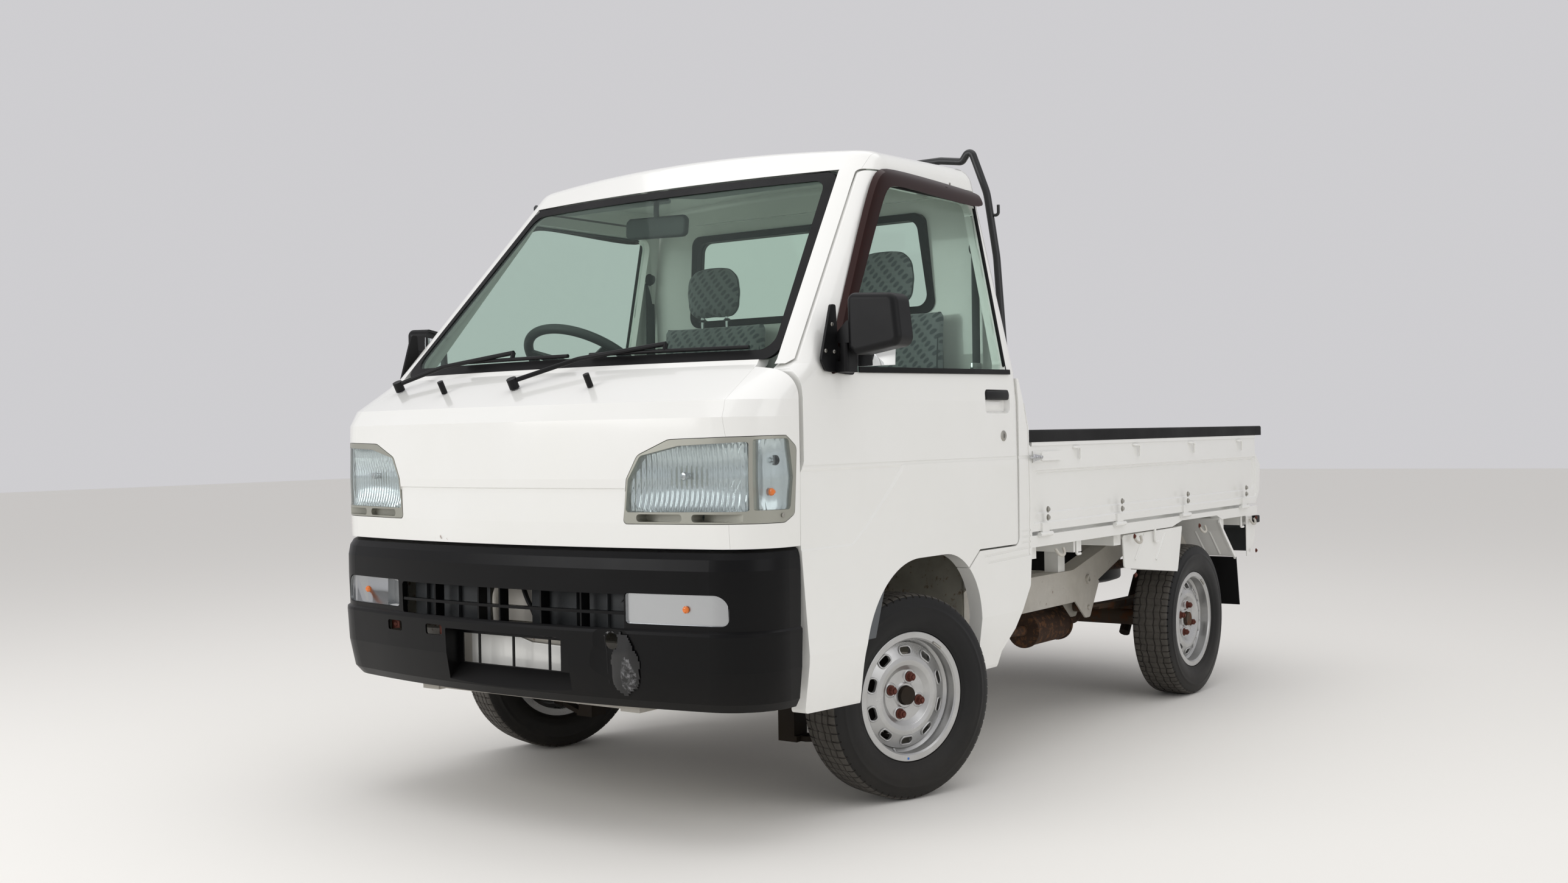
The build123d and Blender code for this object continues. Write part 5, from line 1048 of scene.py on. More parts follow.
@dataclass
class Headlights:
    """Main beam and marker on each side, behind clear mouldings in a silver surround."""

    flute: float = 13.0
    marker_flute: float = 9.0
    bowl_depth: float = 17.0
    surround_width: float = 320.0
    main_lens_reach: float = 696.0
    nodes: Dict[str, bpy.types.Object] = field(default_factory=dict)

    def build(self) -> int:
        """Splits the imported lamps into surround, lens and marker, and fills them.

        Returns:
            How many pieces were made.
        """
        made = 0
        for solid in loose_copies(self.nodes["headlights"]):
            low, high = span(solid)
            hand = "left" if low.x + high.x > 0 else "right"
            if high.x - low.x > self.surround_width:
                kind, finish = "lamp_surround", BEZEL_PAINT
            elif max(abs(low.x), abs(high.x)) < self.main_lens_reach:
                kind, finish = "main_lens", LAMP_LENS
            else:
                kind, finish = "marker_lens", LAMP_LENS
            if kind != "lamp_surround":
                made += self.fill(solid, kind, hand)
            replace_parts(done(solid, f"{kind}_{hand}", "root", finish), "headlights")
            made += 1
        return made + self.bulbs() + self.fittings()

    def fill(self, lens: bpy.types.Object, kind: str, hand: str) -> int:
        """Puts flutes and a reflector behind one lens."""
        main = kind == "main_lens"
        flutes = fluted(lens, (200, 36) if main else (90, 24), self.flute if main else self.marker_flute,
                        3.4 if main else 2.4, curved=main)
        done(flutes, f"{kind}_flutes_{hand}", "root", FLUTED_LENS, 20.0)
        back = bowl(lens, self.bowl_depth if main else 10.0, 6.0, 3.0 if main else 6.0)
        done(back, f"{kind}_reflector_{hand}", "root", REFLECTOR, 40.0)
        return 2

    def bulbs(self) -> int:
        """The main bulb with its shade cap, the clear marker bulb and the amber one."""
        main = bulb((540, 108, 866), 8.0, 26.0)
        cap = stamp(turned(((0, 22.0), (9.0, 20.0), (9.4, 30.0), (8.0, 33.0), (0, 34.0)), 24),
                    [aimed((540, 108, 866), (0, -1, 0))])
        done(stamp(join([main, cap]), BOTH_SIDES), "main_bulbs", "root", CHROME)
        done(stamp(bulb((719, 186, 900), 8.5, 17.0), BOTH_SIDES), "marker_bulbs", "root", LAMP_LENS)
        socket = turned(((0, -3), (12, -3), (12, 0), (10.5, 2.5), (8.5, 2.5), (8.5, 0), (0, 0)), 24)
        done(stamp(stamp(socket, [aimed((719, 187, 900), (0, -1, 0))]), BOTH_SIDES), "marker_sockets", "root",
             DARK_PLASTIC)
        done(stamp(bulb((718, 184, 828), 9.0, 18.0), BOTH_SIDES), "turn_bulbs", "root", AMBER_BULB)
        return 4

    def fittings(self) -> int:
        """The fixing screw below the marker."""
        screws = stamp(cross_screw(5.0), [aimed((734.5, 196, 774), (1, -0.25, 0))])
        done(stamp(screws, BOTH_SIDES), "marker_screws", "root", ZINC)
        return 1


@dataclass
class Bumper:
    """The bumper's lamps, torn brackets, scrape with its painted highlight, split drawn as painted shade, and what
    shows through its slots.
    """

    cover_volume: float = 1.1e-4
    rim: float = 0.003
    hollow_depth: float = 0.026
    nodes: Dict[str, bpy.types.Object] = field(default_factory=dict)

    def build(self) -> int:
        """Makes the bumper's details.

        Returns:
            How many pieces were made.
        """
        made = 0
        for solid in loose_copies(self.nodes["bumper_lamps"]):
            low, high = span(solid)
            hand = "left" if low.x + high.x > 0 else "right"
            cover = self.is_cover(solid)
            name = "bumper_lens" if cover else "bumper_lamp_body"
            if cover:
                flutes = fluted(solid, (180, 24), 7.0, 1.4)
                done(flutes, f"bumper_lens_flutes_{hand}", "root", FLUTED_LENS, 20.0)
                done(bowl(solid, 13.0, 3.0, 3.0), f"bumper_reflector_{hand}", "root", AGED_REFLECTOR, 40.0)
                self.screw(solid, hand)
                made += 3
            else:
                self.hollow(solid)
            finish = LAMP_LENS if cover else AGED_REFLECTOR
            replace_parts(done(solid, f"{name}_{hand}", "root", finish), "bumper_lamps")
            made += 1
        return made + self.lamp_insides() + self.brackets() + self.behind_slots() + self.scrape()

    def is_cover(self, solid: bpy.types.Object) -> bool:
        """Whether this solid of a bumper lamp is its thin cover, told by its volume."""
        shape = bmesh.new()
        shape.from_mesh(solid.data)
        volume = abs(shape.calc_volume())
        shape.free()
        return volume < self.cover_volume

    def hollow(self, body: bpy.types.Object) -> None:
        """Sinks the front of a lamp's body, so that the bulb stands in a bowl."""
        for face in body.data.polygons:
            face.select = face.normal.y < -0.3
        edit(body, everything=False)
        bpy.ops.mesh.inset(thickness=self.rim)
        bpy.ops.transform.translate(value=(0, self.hollow_depth, 0))
        clear()

    def lamp_insides(self) -> int:
        """The amber bulb of each lamp."""
        done(stamp(bulb((552, 72, 562), 8.5, 17.0), BOTH_SIDES), "bumper_bulbs", "root", AMBER_BULB)
        return 1

    def screw(self, lens: bpy.types.Object, hand: str) -> None:
        """The screw at a lamp's outer end, standing on its lens."""
        across = 640 if hand == "left" else -640
        _, where, normal, _ = lens.ray_cast(metres((across, -300, 558)), Vector((0, 1, 0)))
        place = (across, (where.y + HALF_LENGTH) * 1000, 558)
        screw = stamp(cross_screw(5.5), [aimed(place, normal)])
        done(screw, f"bumper_lamp_screw_{hand}", "root", ZINC)

    def brackets(self) -> int:
        """Two rusty plate brackets left standing in their torn holes."""
        plates = []
        for x, twist in ((-432.0, 0.3), (-222.0, -0.2)):
            y = 20 + bow(x)
            plate = prism(((x - 14, y, 463), (x + 16, y, 466), (x + 15, y, 484), (x - 12, y, 489)),
                          (0, 2.5, 0))
            lip = block((x - 14, y, 463), (x - 11, y + 24, 488))
            bolt = stamp(cross_screw(6.0), [aimed((x + 2, y, 476), (twist, -1, 0))])
            plates += [plate, lip, bolt]
        done(eased(join(plates), 0.6), "plate_brackets", "root", RUSTY_BOLT)
        return 1

    def behind_slots(self) -> int:
        """The dark shroud and pale duct behind the bars, and the cross tube behind the hollow."""
        left, right, low, high = -362.0, 392.0, 500.0, 606.0
        hole = (-84.0, 62.0)
        panels = [block((left, 62, low), (hole[0], 65, high)), block((hole[1], 62, low), (right, 65, high))]
        for x in (-310.0, -190.0, 120.0, 220.0, 320.0):
            panels.append(block((x, 50, low + 4), (x + 3, 62, high - 4)))
        done(eased(join(panels), 0.8), "slot_shroud", "root", DARK_PLASTIC)
        duct = prism(((-80, 84, 504), (58, 84, 504), (58, 84, 590), (-58, 84, 590)), (0, 4, 0))
        pipe = wire(((-76, 76, 500), (-78, 74, 540), (-72, 70, 578), (-52, 72, 600)), 9.0, smooth=True)
        done(eased(join([duct, pipe]), 2.0), "air_duct", "root", CHASSIS_PAINT)
        pipe_up = wire(((20, 72, 598), (34, 70, 566), (58, 72, 532), (64, 78, 502)), 6.0, smooth=True)
        done(pipe_up, "coolant_pipe", "root", TRIM_PLASTIC)
        tube = prism(((-186, 92, 384), (168, 92, 384), (168, 92, 448), (30, 92, 452), (-40, 92, 470),
                      (-186, 92, 476)), (0, 2.5, 0))
        done(eased(tube, 1.0), "front_cross_plate", "root", BODY_PAINT)
        return 4

    def scrape(self) -> int:
        """The pale scrape low on the bumper's left, partly scuff and partly a painted highlight of the dent, and
        the split beside it, a dark line of painted shade.
        """
        bumper = self.nodes["front_bumper"]
        dent = patch(bumper, (392.0, 428.0), (46.0, 84.0), 28, 0.4, 9.0)
        done(dent, "bumper_dent", "root", DENTED_PLASTIC, 60.0)
        # The pale smear over the dent is partly a painted highlight of the dent's shine.
        smear = patch(dent, (404.0, 404.0), (24.0, 50.0))
        done(smear, "bumper_scrape_and_highlight", "root", SCRAPE_AND_HIGHLIGHT, 60.0)
        gouge = patch(bumper, (352.0, 492.0), (20.0, 16.0))
        done(gouge, "bumper_gouge", "root", SCRAPE_AND_HIGHLIGHT, 60.0)
        points = []
        for x, z in ((338, 500), (336, 480), (341, 459), (340, 420), (343, 382)):
            _, where, _, _ = bumper.ray_cast(metres((x, -300, z)), Vector((0, 1, 0)))
            points.append((x, (where.y + HALF_LENGTH) * 1000 + 0.2, z))
        # The split is a thin dark wire of painted shade, standing for the dark inside the crack.
        done(wire(points, 1.3), "bumper_split", "root", PAINTED_SHADE_AND_INK)
        return 4


def bow(x: float) -> float:
    """How far the nose falls back at a distance from the middle, in millimetres."""
    return x * x / (2 * 2980.0)


def patch(target: bpy.types.Object, centre: Tuple[float, float], half: Tuple[float, float],
          count: int = 20, away: float = 0.5, bulge: float = 0.0) -> bpy.types.Object:
    """A thin mark that lies on a surface seen from the front, wavy at its edge.

    Args:
        target: what it lies on.
        centre: its middle, across and up, in millimetres.
        half: half its width and height.
        count: grid divisions.
        away: how far it stands off the surface, in millimetres.
        bulge: how much further its middle stands off.

    Returns:
        The mark as an open sheet.
    """
    clear()
    bpy.ops.mesh.primitive_grid_add(x_subdivisions=count, y_subdivisions=count, size=2.0)
    sheet = bpy.context.active_object
    outside = set()
    for vertex in sheet.data.vertices:
        u, v = vertex.co.x, vertex.co.y
        x, z = centre[0] + u * half[0], centre[1] + v * half[1]
        angle = math.atan2(v, u)
        edge = 0.9 + 0.06 * math.sin(3 * angle + centre[0]) + 0.03 * math.sin(7 * angle)
        hit, where, normal, _ = target.ray_cast(metres((x, -300, z)), Vector((0, 1, 0)))
        if not hit or math.hypot(u, v) > edge:
            outside.add(vertex.index)
            where, normal = metres((x, 0, z)), Vector((0, -1, 0))
        swell = bulge * max(0.0, 1 - u * u - v * v) ** 0.7
        vertex.co = where + normal * (away + swell) / 1000
    for face in sheet.data.polygons:
        face.select = any(index in outside for index in face.vertices)
    edit(sheet, everything=False)
    bpy.ops.mesh.delete(type="FACE")
    clear()
    return sheet


def stuffed(outline: Sequence[Tuple[float, float]], plane: str, low: float, high: float, swell: float = 22.0,
            round_mm: float = 22.0, voxel: float = 6.0) -> bpy.types.Object:
    """A padded piece: an outline given thickness, rounded, then blown up as simulated cloth.

    Args:
        outline: the section's corners, as distance back and height for "side", or across and
            height for "front".
        plane: which of the two the outline is seen from.
        low: where the thickness starts, across for "side" or back for "front".
        high: where it ends.
        swell: how far a point may move, in millimetres.
        round_mm: the rounding before it swells.
        voxel: the size of the cloth's faces.

    Returns:
        The pad, still without a name.
    """
    if plane == "side":
        pad = prism([(low, back_by, up) for back_by, up in outline], (high - low, 0, 0))
    else:
        pad = prism([(across, low, up) for across, up in outline], (0, high - low, 0))
    hold(pad)
    bpy.ops.object.transform_apply(location=True, rotation=True, scale=True)
    modify(pad, "BEVEL", width=round_mm / 1000, segments=4, limit_method="ANGLE",
           angle_limit=math.radians(30))
    modify(pad, "REMESH", mode="VOXEL", voxel_size=voxel / 1000)
    modify(pad, "SMOOTH", factor=0.6, iterations=6)
    swell_cloth(pad, swell)
    return modify(pad, "SUBSURF", levels=1, render_levels=1)


def swell_cloth(pad: bpy.types.Object, swell: float) -> None:
    """Blows a pad up by cloth pressure, and holds each point within a distance of its start."""
    start = [vertex.co.copy() for vertex in pad.data.vertices]
    hold(pad)
    cloth = pad.modifiers.new("stuffing", "CLOTH")
    cloth.settings.use_pressure = True
    cloth.settings.uniform_pressure_force = 4.0
    cloth.settings.effector_weights.gravity = 0.0
    cloth.settings.quality = 4
    for frame_number in range(1, 21):
        bpy.context.scene.frame_set(frame_number)
    bpy.ops.object.modifier_apply(modifier=cloth.name)
    bpy.context.scene.frame_set(1)
    for vertex, place in zip(pad.data.vertices, start):
        moved = vertex.co - place
        if moved.length > swell / 1000:
            vertex.co = place + moved * (swell / 1000 / moved.length)


def seam(pad: bpy.types.Object, points: Sequence[Point], radius: float = 2.6) -> bpy.types.Object:
    """A piped seam that runs round a pad on its own surface, through the nearest places."""
    found = []
    for start, end in zip(points, (*points[1:], points[0])):
        for share in (0.0, 0.25, 0.5, 0.75):
            target = metres(start).lerp(metres(end), share)
            _, where, _, _ = pad.closest_point_on_mesh(target)
            found.append((where.x * 1000, (where.y + HALF_LENGTH) * 1000, where.z * 1000))
    return wire(found, radius, smooth=True, ring=True, sides=2)


@dataclass
class Seats:
    """Two bench-like seats with patterned cloth, piped edges and high head restraints."""

    across: float = 325.0
    cushion: Tuple[Tuple[float, float], ...] = ((882, 708), (1278, 692), (1278, 786), (886, 836))
    backrest: Tuple[Tuple[float, float], ...] = ((1252, 822), (1303, 812), (1315, 1318), (1280, 1318))
    rest: Tuple[Tuple[float, float], ...] = (
        (-74, 1338), (74, 1338), (98, 1362), (104, 1420), (96, 1470), (62, 1496), (-62, 1496), (-96, 1470),
        (-104, 1420), (-98, 1362))

    def build(self) -> int:
        """Makes one seat's pads and seams, then a copy for the other side.

        Returns:
            How many pieces were made.
        """
        places = [Matrix.Translation((side * self.across / 1000, 0, 0)) for side in (1, -1)]
        made = 0
        pads = (
            ("seat_cushion", stuffed(self.cushion, "side", -220.0, 220.0, 12.0), "seat_cushions", 0.7),
            ("seat_back", stuffed(self.backrest, "side", -208.0, 208.0, 10.0), "seat_backs", 0.7),
            ("head_restraint", stuffed(self.rest, "front", 1276.0, 1314.0, 9.0, 14.0), "seat_backs", 0.8),
        )
        seams = {
            "seat_cushion": [[(x, back_by, up) for back_by, up in self.cushion] for x in (-205.0, 205.0)],
            "seat_back": [[(x, back_by, up) for back_by, up in self.backrest] for x in (-194.0, 194.0)],
            "head_restraint": [[(across, 1295.0, up) for across, up in self.rest]],
        }
        for name, pad, node, fill in pads:
            pipes = [seam(pad, points) for points in seams[name]]
            for place, hand in zip(places, ("left", "right")):
                piece = done(stamp(copied(pad), [place]), f"{name}_{hand}", "root", SEAT_CLOTH, 60.0)
                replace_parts(piece, node)
                made += 1
            done(stamp(join(pipes), places), f"{name}_piping", "root", PIPING, 60.0)
            bpy.data.objects.remove(pad)
            made += 1
        posts = join([wire(((x, 1298, 1296), (x, 1296, 1350)), 5.5) for x in (-50, 50)])
        sleeves = [stamp(turned(((0, 0), (12, 0), (12, 3), (8, 8), (0, 8)), 20),
                         [Matrix.Translation(metres((x, 1298, 1326)))]) for x in (-50, 50)]
        done(stamp(posts, places), "head_restraint_posts", "root", CHROME)
        done(stamp(join(sleeves), places), "post_sleeves", "root", DARK_PLASTIC)
        return made + 2 + self.frames(places)

    def frames(self, places: Sequence[Matrix]) -> int:
        """The slide rails, reclining pivots and release bar of each seat."""
        rails = [eased(block((x - 14, 900, 656), (x + 14, 1290, 672)), 2.0) for x in (-170, 170)]
        pivots = [stamp(turned(((0, -4), (26, -4), (26, 4), (18, 8), (0, 8)), 28),
                        [aimed((x, 1272, 800), (1, 0, 0))]) for x in (-229, 229)]
        bar = wire(((-120, 872, 690), (-120, 850, 684), (120, 850, 684), (120, 872, 690)), 5.0)
        done(stamp(join(rails + pivots + [bar]), places), "seat_slides", "root", DARK_PLASTIC)
        return 1


@dataclass
class Cabin:
    """What is fixed inside the cab: mirror, visors, belts, gauges, vents, mats."""

    belt_x: float = 640.0

    def build(self) -> int:
        """Makes the cabin's fittings.

        Returns:
            How many pieces were made.
        """
        return self.mirror() + self.visors() + self.belts() + self.gauges() + self.console() + self.floor()

    def mirror(self) -> int:
        """The inside mirror on its stalk, a long rounded housing with its glass to the back."""
        outline = ((-222, 1541), (-210, 1532), (-10, 1526), (2, 1534), (6, 1575), (-4, 1588), (-206, 1593),
                   (-220, 1584))
        shell = eased(prism([(x, 752, z) for x, z in outline], (0, 22, 0)), 8.0, 4)
        stalk = wire(((-108, 764, 1580), (-108, 756, 1606), (-108, 764, 1640)), 8.0, smooth=True)
        foot = eased(block((-132, 748, 1636), (-84, 790, 1648)), 3.0)
        done(join([shell, stalk, foot]), "inside_mirror", "root", DARK_PLASTIC, 40.0)
        glass = eased(prism([(0.94 * x - 6.5, 773.6, 0.9 * z + 156) for x, z in outline], (0, 1.0, 0)), 0.4)
        done(glass, "inside_mirror_glass", "root", MIRROR_SILVER)
        return 2

    def visors(self) -> int:
        """Two sun visors folded up under the roof, each on its rod."""
        pads, rods = [], []
        for low, high in ((-560.0, -160.0), (-50.0, 520.0)):
            outline = ((low, 742, 1634), (high, 742, 1634), (high - 6, 900, 1650), (low + 6, 900, 1650))
            pads.append(eased(prism(outline, (0, 0, 15)), 6.0, 3))
            rods.append(wire(((low + 8, 738, 1646), (high - 8, 738, 1646)), 4.5))
        done(join(pads), "sun_visors", "root", VISOR_VINYL, 40.0)
        done(join(rods), "visor_rods", "root", DARK_PLASTIC)
        return 2

    def belts(self) -> int:
        """Each side's upper guide, strap, reel and tongue, and the buckle stalks between the seats."""
        x = self.belt_x
        guide = eased(block((x - 16, 1302, 1446), (x, 1340, 1508)), 7.0, 4)
        cover = stamp(turned(((0, 0), (24, 0), (24, 10), (16, 17), (0, 18)), 28),
                      [aimed((x - 14, 1322, 1487), (-1, 0, 0))])
        reel = eased(block((x - 30, 1290, 905), (x + 10, 1345, 985)), 8.0, 3)
        strap = prism(((x - 20, 1300, 1470), (x - 20, 1344, 1470), (x - 22, 1344, 980),
                       (x - 22, 1300, 980)), (1.8, 0, 0))
        tongue = eased(block((x - 27, 1296, 1130), (x - 17, 1348, 1156)), 2.0)
        done(stamp(join([guide, cover, reel]), BOTH_SIDES), "belt_guides_and_reels", "root",
             DARK_PLASTIC, 40.0)
        done(stamp(strap, BOTH_SIDES), "belt_straps", "root", WEBBING)
        done(stamp(tongue, BOTH_SIDES), "belt_tongues", "root", CHROME)
        stalk = wire(((84, 1262, 690), (82, 1240, 760), (80, 1214, 822)), 5.0, smooth=True)
        buckle = eased(block((66, 1188, 812), (94, 1212, 872)), 4.0, 3)
        done(stamp(join([stalk, buckle]), BOTH_SIDES), "belt_buckles", "root", DARK_PLASTIC)
        button = eased(block((70, 1190, 871), (90, 1210, 875)), 1.0)
        done(stamp(button, BOTH_SIDES), "buckle_buttons", "root", RED_LENS)
        return 5

    def gauges(self) -> int:
        """The instrument panel: a dark face with three dials, their ticks and needles."""
        middle = -325.0
        face = eased(prism(((middle - 132, 546, 1066), (middle + 132, 546, 1066), (middle + 132, 556, 1122),
                            (middle - 132, 556, 1122)), (0, 2, 0)), 0.6)
        done(face, "gauge_panel", "root", PAINTED_SHADE_AND_INK)
        rings, ticks, needles = [], [], []
        for across, radius, count in ((-58.0, 26.0, 13), (30.0, 22.0, 9), (92.0, 16.0, 5)):
            place = aimed((middle + across, 551, 1094), (0, 1, -0.18))
            rim = radius + 2.2
            rings.append(stamp(turned(((radius, 1), (rim, 1), (rim, 3.5), (radius, 3.5), (radius, 1)), 36),
                               [place]))
            tick = block((-0.5, radius - 6, 2.0), (0.5, radius - 2, 2.6), local=True)
            turns = [Matrix.Rotation(math.radians(-130 + 260 * i / (count - 1)), 4, "Z")
                     for i in range(count)]
            ticks.append(stamp(tick, [place @ turn for turn in turns]))
            needle = block((-0.7, -4, 2.8), (0.7, radius - 5, 3.4), local=True)
            needles.append(stamp(needle, [place @ Matrix.Rotation(math.radians(128), 4, "Z")]))
        done(join(rings), "gauge_rings", "root", CHROME)
        done(join(ticks), "gauge_ticks", "root", TICK_INK)
        done(join(needles), "gauge_needles", "root", RED_LENS)
        return 4

    def console(self) -> int:
        """The heater panel, blank radio face, air vents and glovebox lid on the dashboard."""
        dark, knobs, slats = [], [], []
        for low, high, bottom, top in ((-90, 90, 985, 1030), (-90, 90, 925, 975)):
            dark.append(eased(block((low, 545, bottom), (high, 564, top)), 3.0))
        for x in (-50, 0, 50):
            knobs.append(stamp(turned(((0, 0), (13, 0), (11, 14), (0, 15)), 24),
                               [aimed((x, 562, 948), (0, 1, 0))]))
        for x in (-620, -140, 140, 620):
            dark.append(eased(block((x - 42, 540, 1000), (x + 42, 563, 1048)), 4.0))
            for z in (1008, 1018, 1028, 1038):
                slats.append(block((x - 36, 560, z), (x + 36, 568, z + 2)))
        lid = eased(prism(((250, 566, 905), (520, 566, 905), (530, 570, 1015), (240, 570, 1015)),
                          (0, 4, 0)), 2.5)
        done(join(dark), "dash_panels", "root", DARK_PLASTIC)
        done(join(knobs + slats), "dash_knobs_and_slats", "root", TRIM_PLASTIC)
        done(lid, "glovebox_lid", "root", CABIN_PLASTIC)
        return 3

    def floor(self) -> int:
        """Rubber mats in the footwells."""
        mats = []
        for low, high in ((-640.0, -60.0), (60.0, 640.0)):
            mats.append(eased(block((low, 300, 405.5), (high, 560, 409)), 1.5))
            mats += [block((x, 320, 408), (x + 6, 540, 411))
                     for x in range(int(low) + 40, int(high) - 30, 36)]
        done(join(mats), "floor_mats", "root", MAT_RUBBER)
        return 1


@dataclass
class Doors:
    """What is fastened to each door: handle, lock, window strips, rain visor, mirror and trim."""

    skin: float = 737.0

    def build(self) -> int:
        """Makes the left door's pieces and their mirror copies.

        Returns:
            How many pieces were made.
        """
        made = 0
        for name, pattern, finish in (
                ("door_handle", self.handle(), TRIM_PLASTIC), ("handle_cup", self.cup(), BODY_PAINT),
                ("door_lock", self.lock(), ZINC), ("lock_slot", self.lock_slot(), PAINTED_SHADE_AND_INK),
                ("window_strips", self.strips(), SEAL_RUBBER), ("rain_visor", self.visor(), SMOKED_VISOR),
                ("visor_screws", self.visor_screws(), ZINC), ("sail_screws", self.sail_screws(), ZINC),
                ("door_card", self.card(), CABIN_PLASTIC), ("window_crank", self.crank(), DARK_PLASTIC)):
            for move, hand in zip(BOTH_SIDES, ("left", "right")):
                done(stamp(copied(pattern), [move]), f"{name}_{hand}", f"door_{hand}", finish, 40.0)
                made += 1
            bpy.data.objects.remove(pattern)
        return made + self.mirror_glass()

    def handle(self) -> bpy.types.Object:
        """The black paddle in the upper half of the recess, bowed outwards."""
        x = self.skin
        outline = ((1162, 1044), (1294, 1044), (1298, 1058), (1294, 1070), (1164, 1070), (1158, 1058))
        paddle = prism([(x - 13, y, z) for y, z in outline], (14.0, 0, 0))
        hinge = block((x - 14, 1160, 1066), (x - 2, 1296, 1073))
        return eased(join([eased(paddle, 5.0, 4), eased(hinge, 2.0)]), 0.4)

    def cup(self) -> bpy.types.Object:
        """The pressed hollow behind the paddle, its floor bulged where fingers go."""
        x = self.skin - 15.6
        clear()
        bpy.ops.mesh.primitive_grid_add(x_subdivisions=24, y_subdivisions=12, size=2.0)
        sheet = bpy.context.active_object
        for vertex in sheet.data.vertices:
            u, v = vertex.co.x, vertex.co.y
            bulge = 5.0 * max(0.0, 1 - (u / 0.8) ** 2) * max(0.0, 1 - ((v + 0.3) / 0.6) ** 2)
            vertex.co = metres((x + bulge, 1228 + 70 * u, 1040 + 32 * v))
        return tidy(sheet)

    def lock(self) -> bpy.types.Object:
        """The lock's round escutcheon."""
        ring = turned(((0, 0), (15, 0), (15, 1.5), (13, 3.2), (9.5, 3.6), (8.5, 2.4), (0, 2.4)), 32)
        return stamp(ring, [aimed((self.skin, 1259, 943), (1, 0, 0))])

    def lock_slot(self) -> bpy.types.Object:
        """The key slot, drawn as a thin dark block of painted shade on the lock's face."""
        return block((self.skin + 2.3, 1258, 937), (self.skin + 2.8, 1260.4, 949))

    def strips(self) -> bpy.types.Object:
        """The belt strip under the window and the channel round the glass."""
        belt = eased(prism(((self.skin - 2, 520, 1106), (self.skin - 2, 1306, 1117),
                            (self.skin - 3, 1306, 1131), (self.skin - 3, 520, 1121)), (3.0, 0, 0)), 1.2)
        path = []
        for y, z in ((414, 1108), (418, 1152), (772, 1612), (1298, 1612), (1292, 1120)):
            path.append((self.side_at(z) - 3.0, y, z))
        channel = wire([path[0], path[1], path[2]], 4.0)
        top = wire([path[2], path[3]], 4.0)
        rear = wire([path[3], path[4]], 5.0)
        return join([belt, channel, top, rear])

    def side_at(self, height: float) -> float:
        """How far out the door's skin lies at a height."""
        return self.skin - (0 if height < 1040 else 6 * min(1.0, (height - 1040) / 85)
                            + 134 * max(0.0, (height - 1125) / 665))

    def visor(self) -> bpy.types.Object:
        """The smoked rain visor: a bent strip that stands off along the pillar and the roof's edge."""
        outer = ((396, 1098), (404, 1152), (560, 1366), (736, 1606), (790, 1652), (870, 1662), (1322, 1648))
        inner = ((430, 1112), (436, 1150), (598, 1352), (776, 1582), (812, 1606), (880, 1612), (1322, 1592))
        vertices, faces = [], []
        lifts = ((0.0, 1.5), (0.22, 11.0), (0.5, 16.0), (1.0, 18.0))
        for (oy, oz), (iy, iz) in zip(outer, inner):
            for share, lift in lifts:
                y, z = oy + (iy - oy) * share, oz + (iz - oz) * share
                vertices.append(metres((self.side_at(z) + lift, y, z)))
        width = len(lifts)
        for row in range(len(outer) - 1):
            for column in range(width - 1):
                start = row * width + column
                faces.append((start, start + 1, start + width + 1, start + width))
        mesh = bpy.data.meshes.new("visor")
        mesh.from_pydata(vertices, [], faces)
        sheet = bpy.data.objects.new("visor", mesh)
        bpy.context.scene.collection.objects.link(sheet)
        modify(sheet, "SUBSURF", levels=2, render_levels=2)
        tidy(sheet)
        return modify(sheet, "SOLIDIFY", thickness=0.0022, offset=0.0)

    def visor_screws(self) -> bpy.types.Object:
        """The two screws that hold the rain visor."""
        places = ((424, 1190), (1150, 1652))
        return join([stamp(cross_screw(4.0), [aimed((self.side_at(z) + 13.5, y, z), (1, 0, 0.2))])
                     for y, z in places])

    def sail_screws(self) -> bpy.types.Object:
        """The three screws of the mirror's sail plate."""
        places = ((392, 1218), (400, 1153), (364, 1154))
        return join([stamp(cross_screw(5.0), [aimed((744.2, y, z), (1, 0, 0))]) for y, z in places])

    def card(self) -> bpy.types.Object:
        """The trim panel inside the door, with its armrest and pull."""
        x = self.skin - 41.5
        outline = ((330, 440), (640, 440), (700, 600), (800, 660), (1260, 660), (1270, 1040),
                   (1262, 1060), (330, 1060))
        panel = eased(prism([(x, y, z) for y, z in outline], (-3.0, 0, 0)), 1.2)
        arm = eased(block((x - 42, 760, 838), (x - 2, 1060, 866)), 8.0, 3)
        pull = eased(block((x - 14, 560, 930), (x - 2, 660, 972)), 4.0)
        return join([panel, arm, pull])

    def crank(self) -> bpy.types.Object:
        """The window winder: hub, arm and knob."""
        x = self.skin - 44.5
        hub = stamp(turned(((0, 0), (19, 0), (17, 8), (0, 10)), 24), [aimed((x, 700, 800), (-1, 0, 0))])
        arm = wire(((x - 10, 700, 800), (x - 16, 740, 830), (x - 18, 772, 852)), 5.0, smooth=True)
        knob = stamp(turned(((0, 0), (9, 0), (10, 22), (0, 25)), 20), [aimed((x - 16, 772, 852), (-1, 0, 0))])
        return join([hub, arm, knob])

    def mirror_glass(self) -> int:
        """The silvered glass in each mirror."""
        for hand, move in (("left", Matrix.Identity(4)), ("right", self.folded_move())):
            glass = prism(((774, 458.6, 1118), (878, 458.6, 1118), (884, 458.6, 1262),
                           (778, 458.6, 1266)), (0, 1.2, 0))
            piece = stamp(eased(glass, 0.5), [move])
            done(piece, f"mirror_glass_{hand}", f"door_{hand}", MIRROR_SILVER)
        return 2

    def folded_move(self) -> Matrix:
        """The move of a left mirror's glass to the right mirror, which is folded back."""
        pivot = Matrix.Translation(metres((765, 470, 0)))
        return ACROSS @ pivot @ Matrix.Rotation(math.radians(67), 4, "Z") @ pivot.inverted()


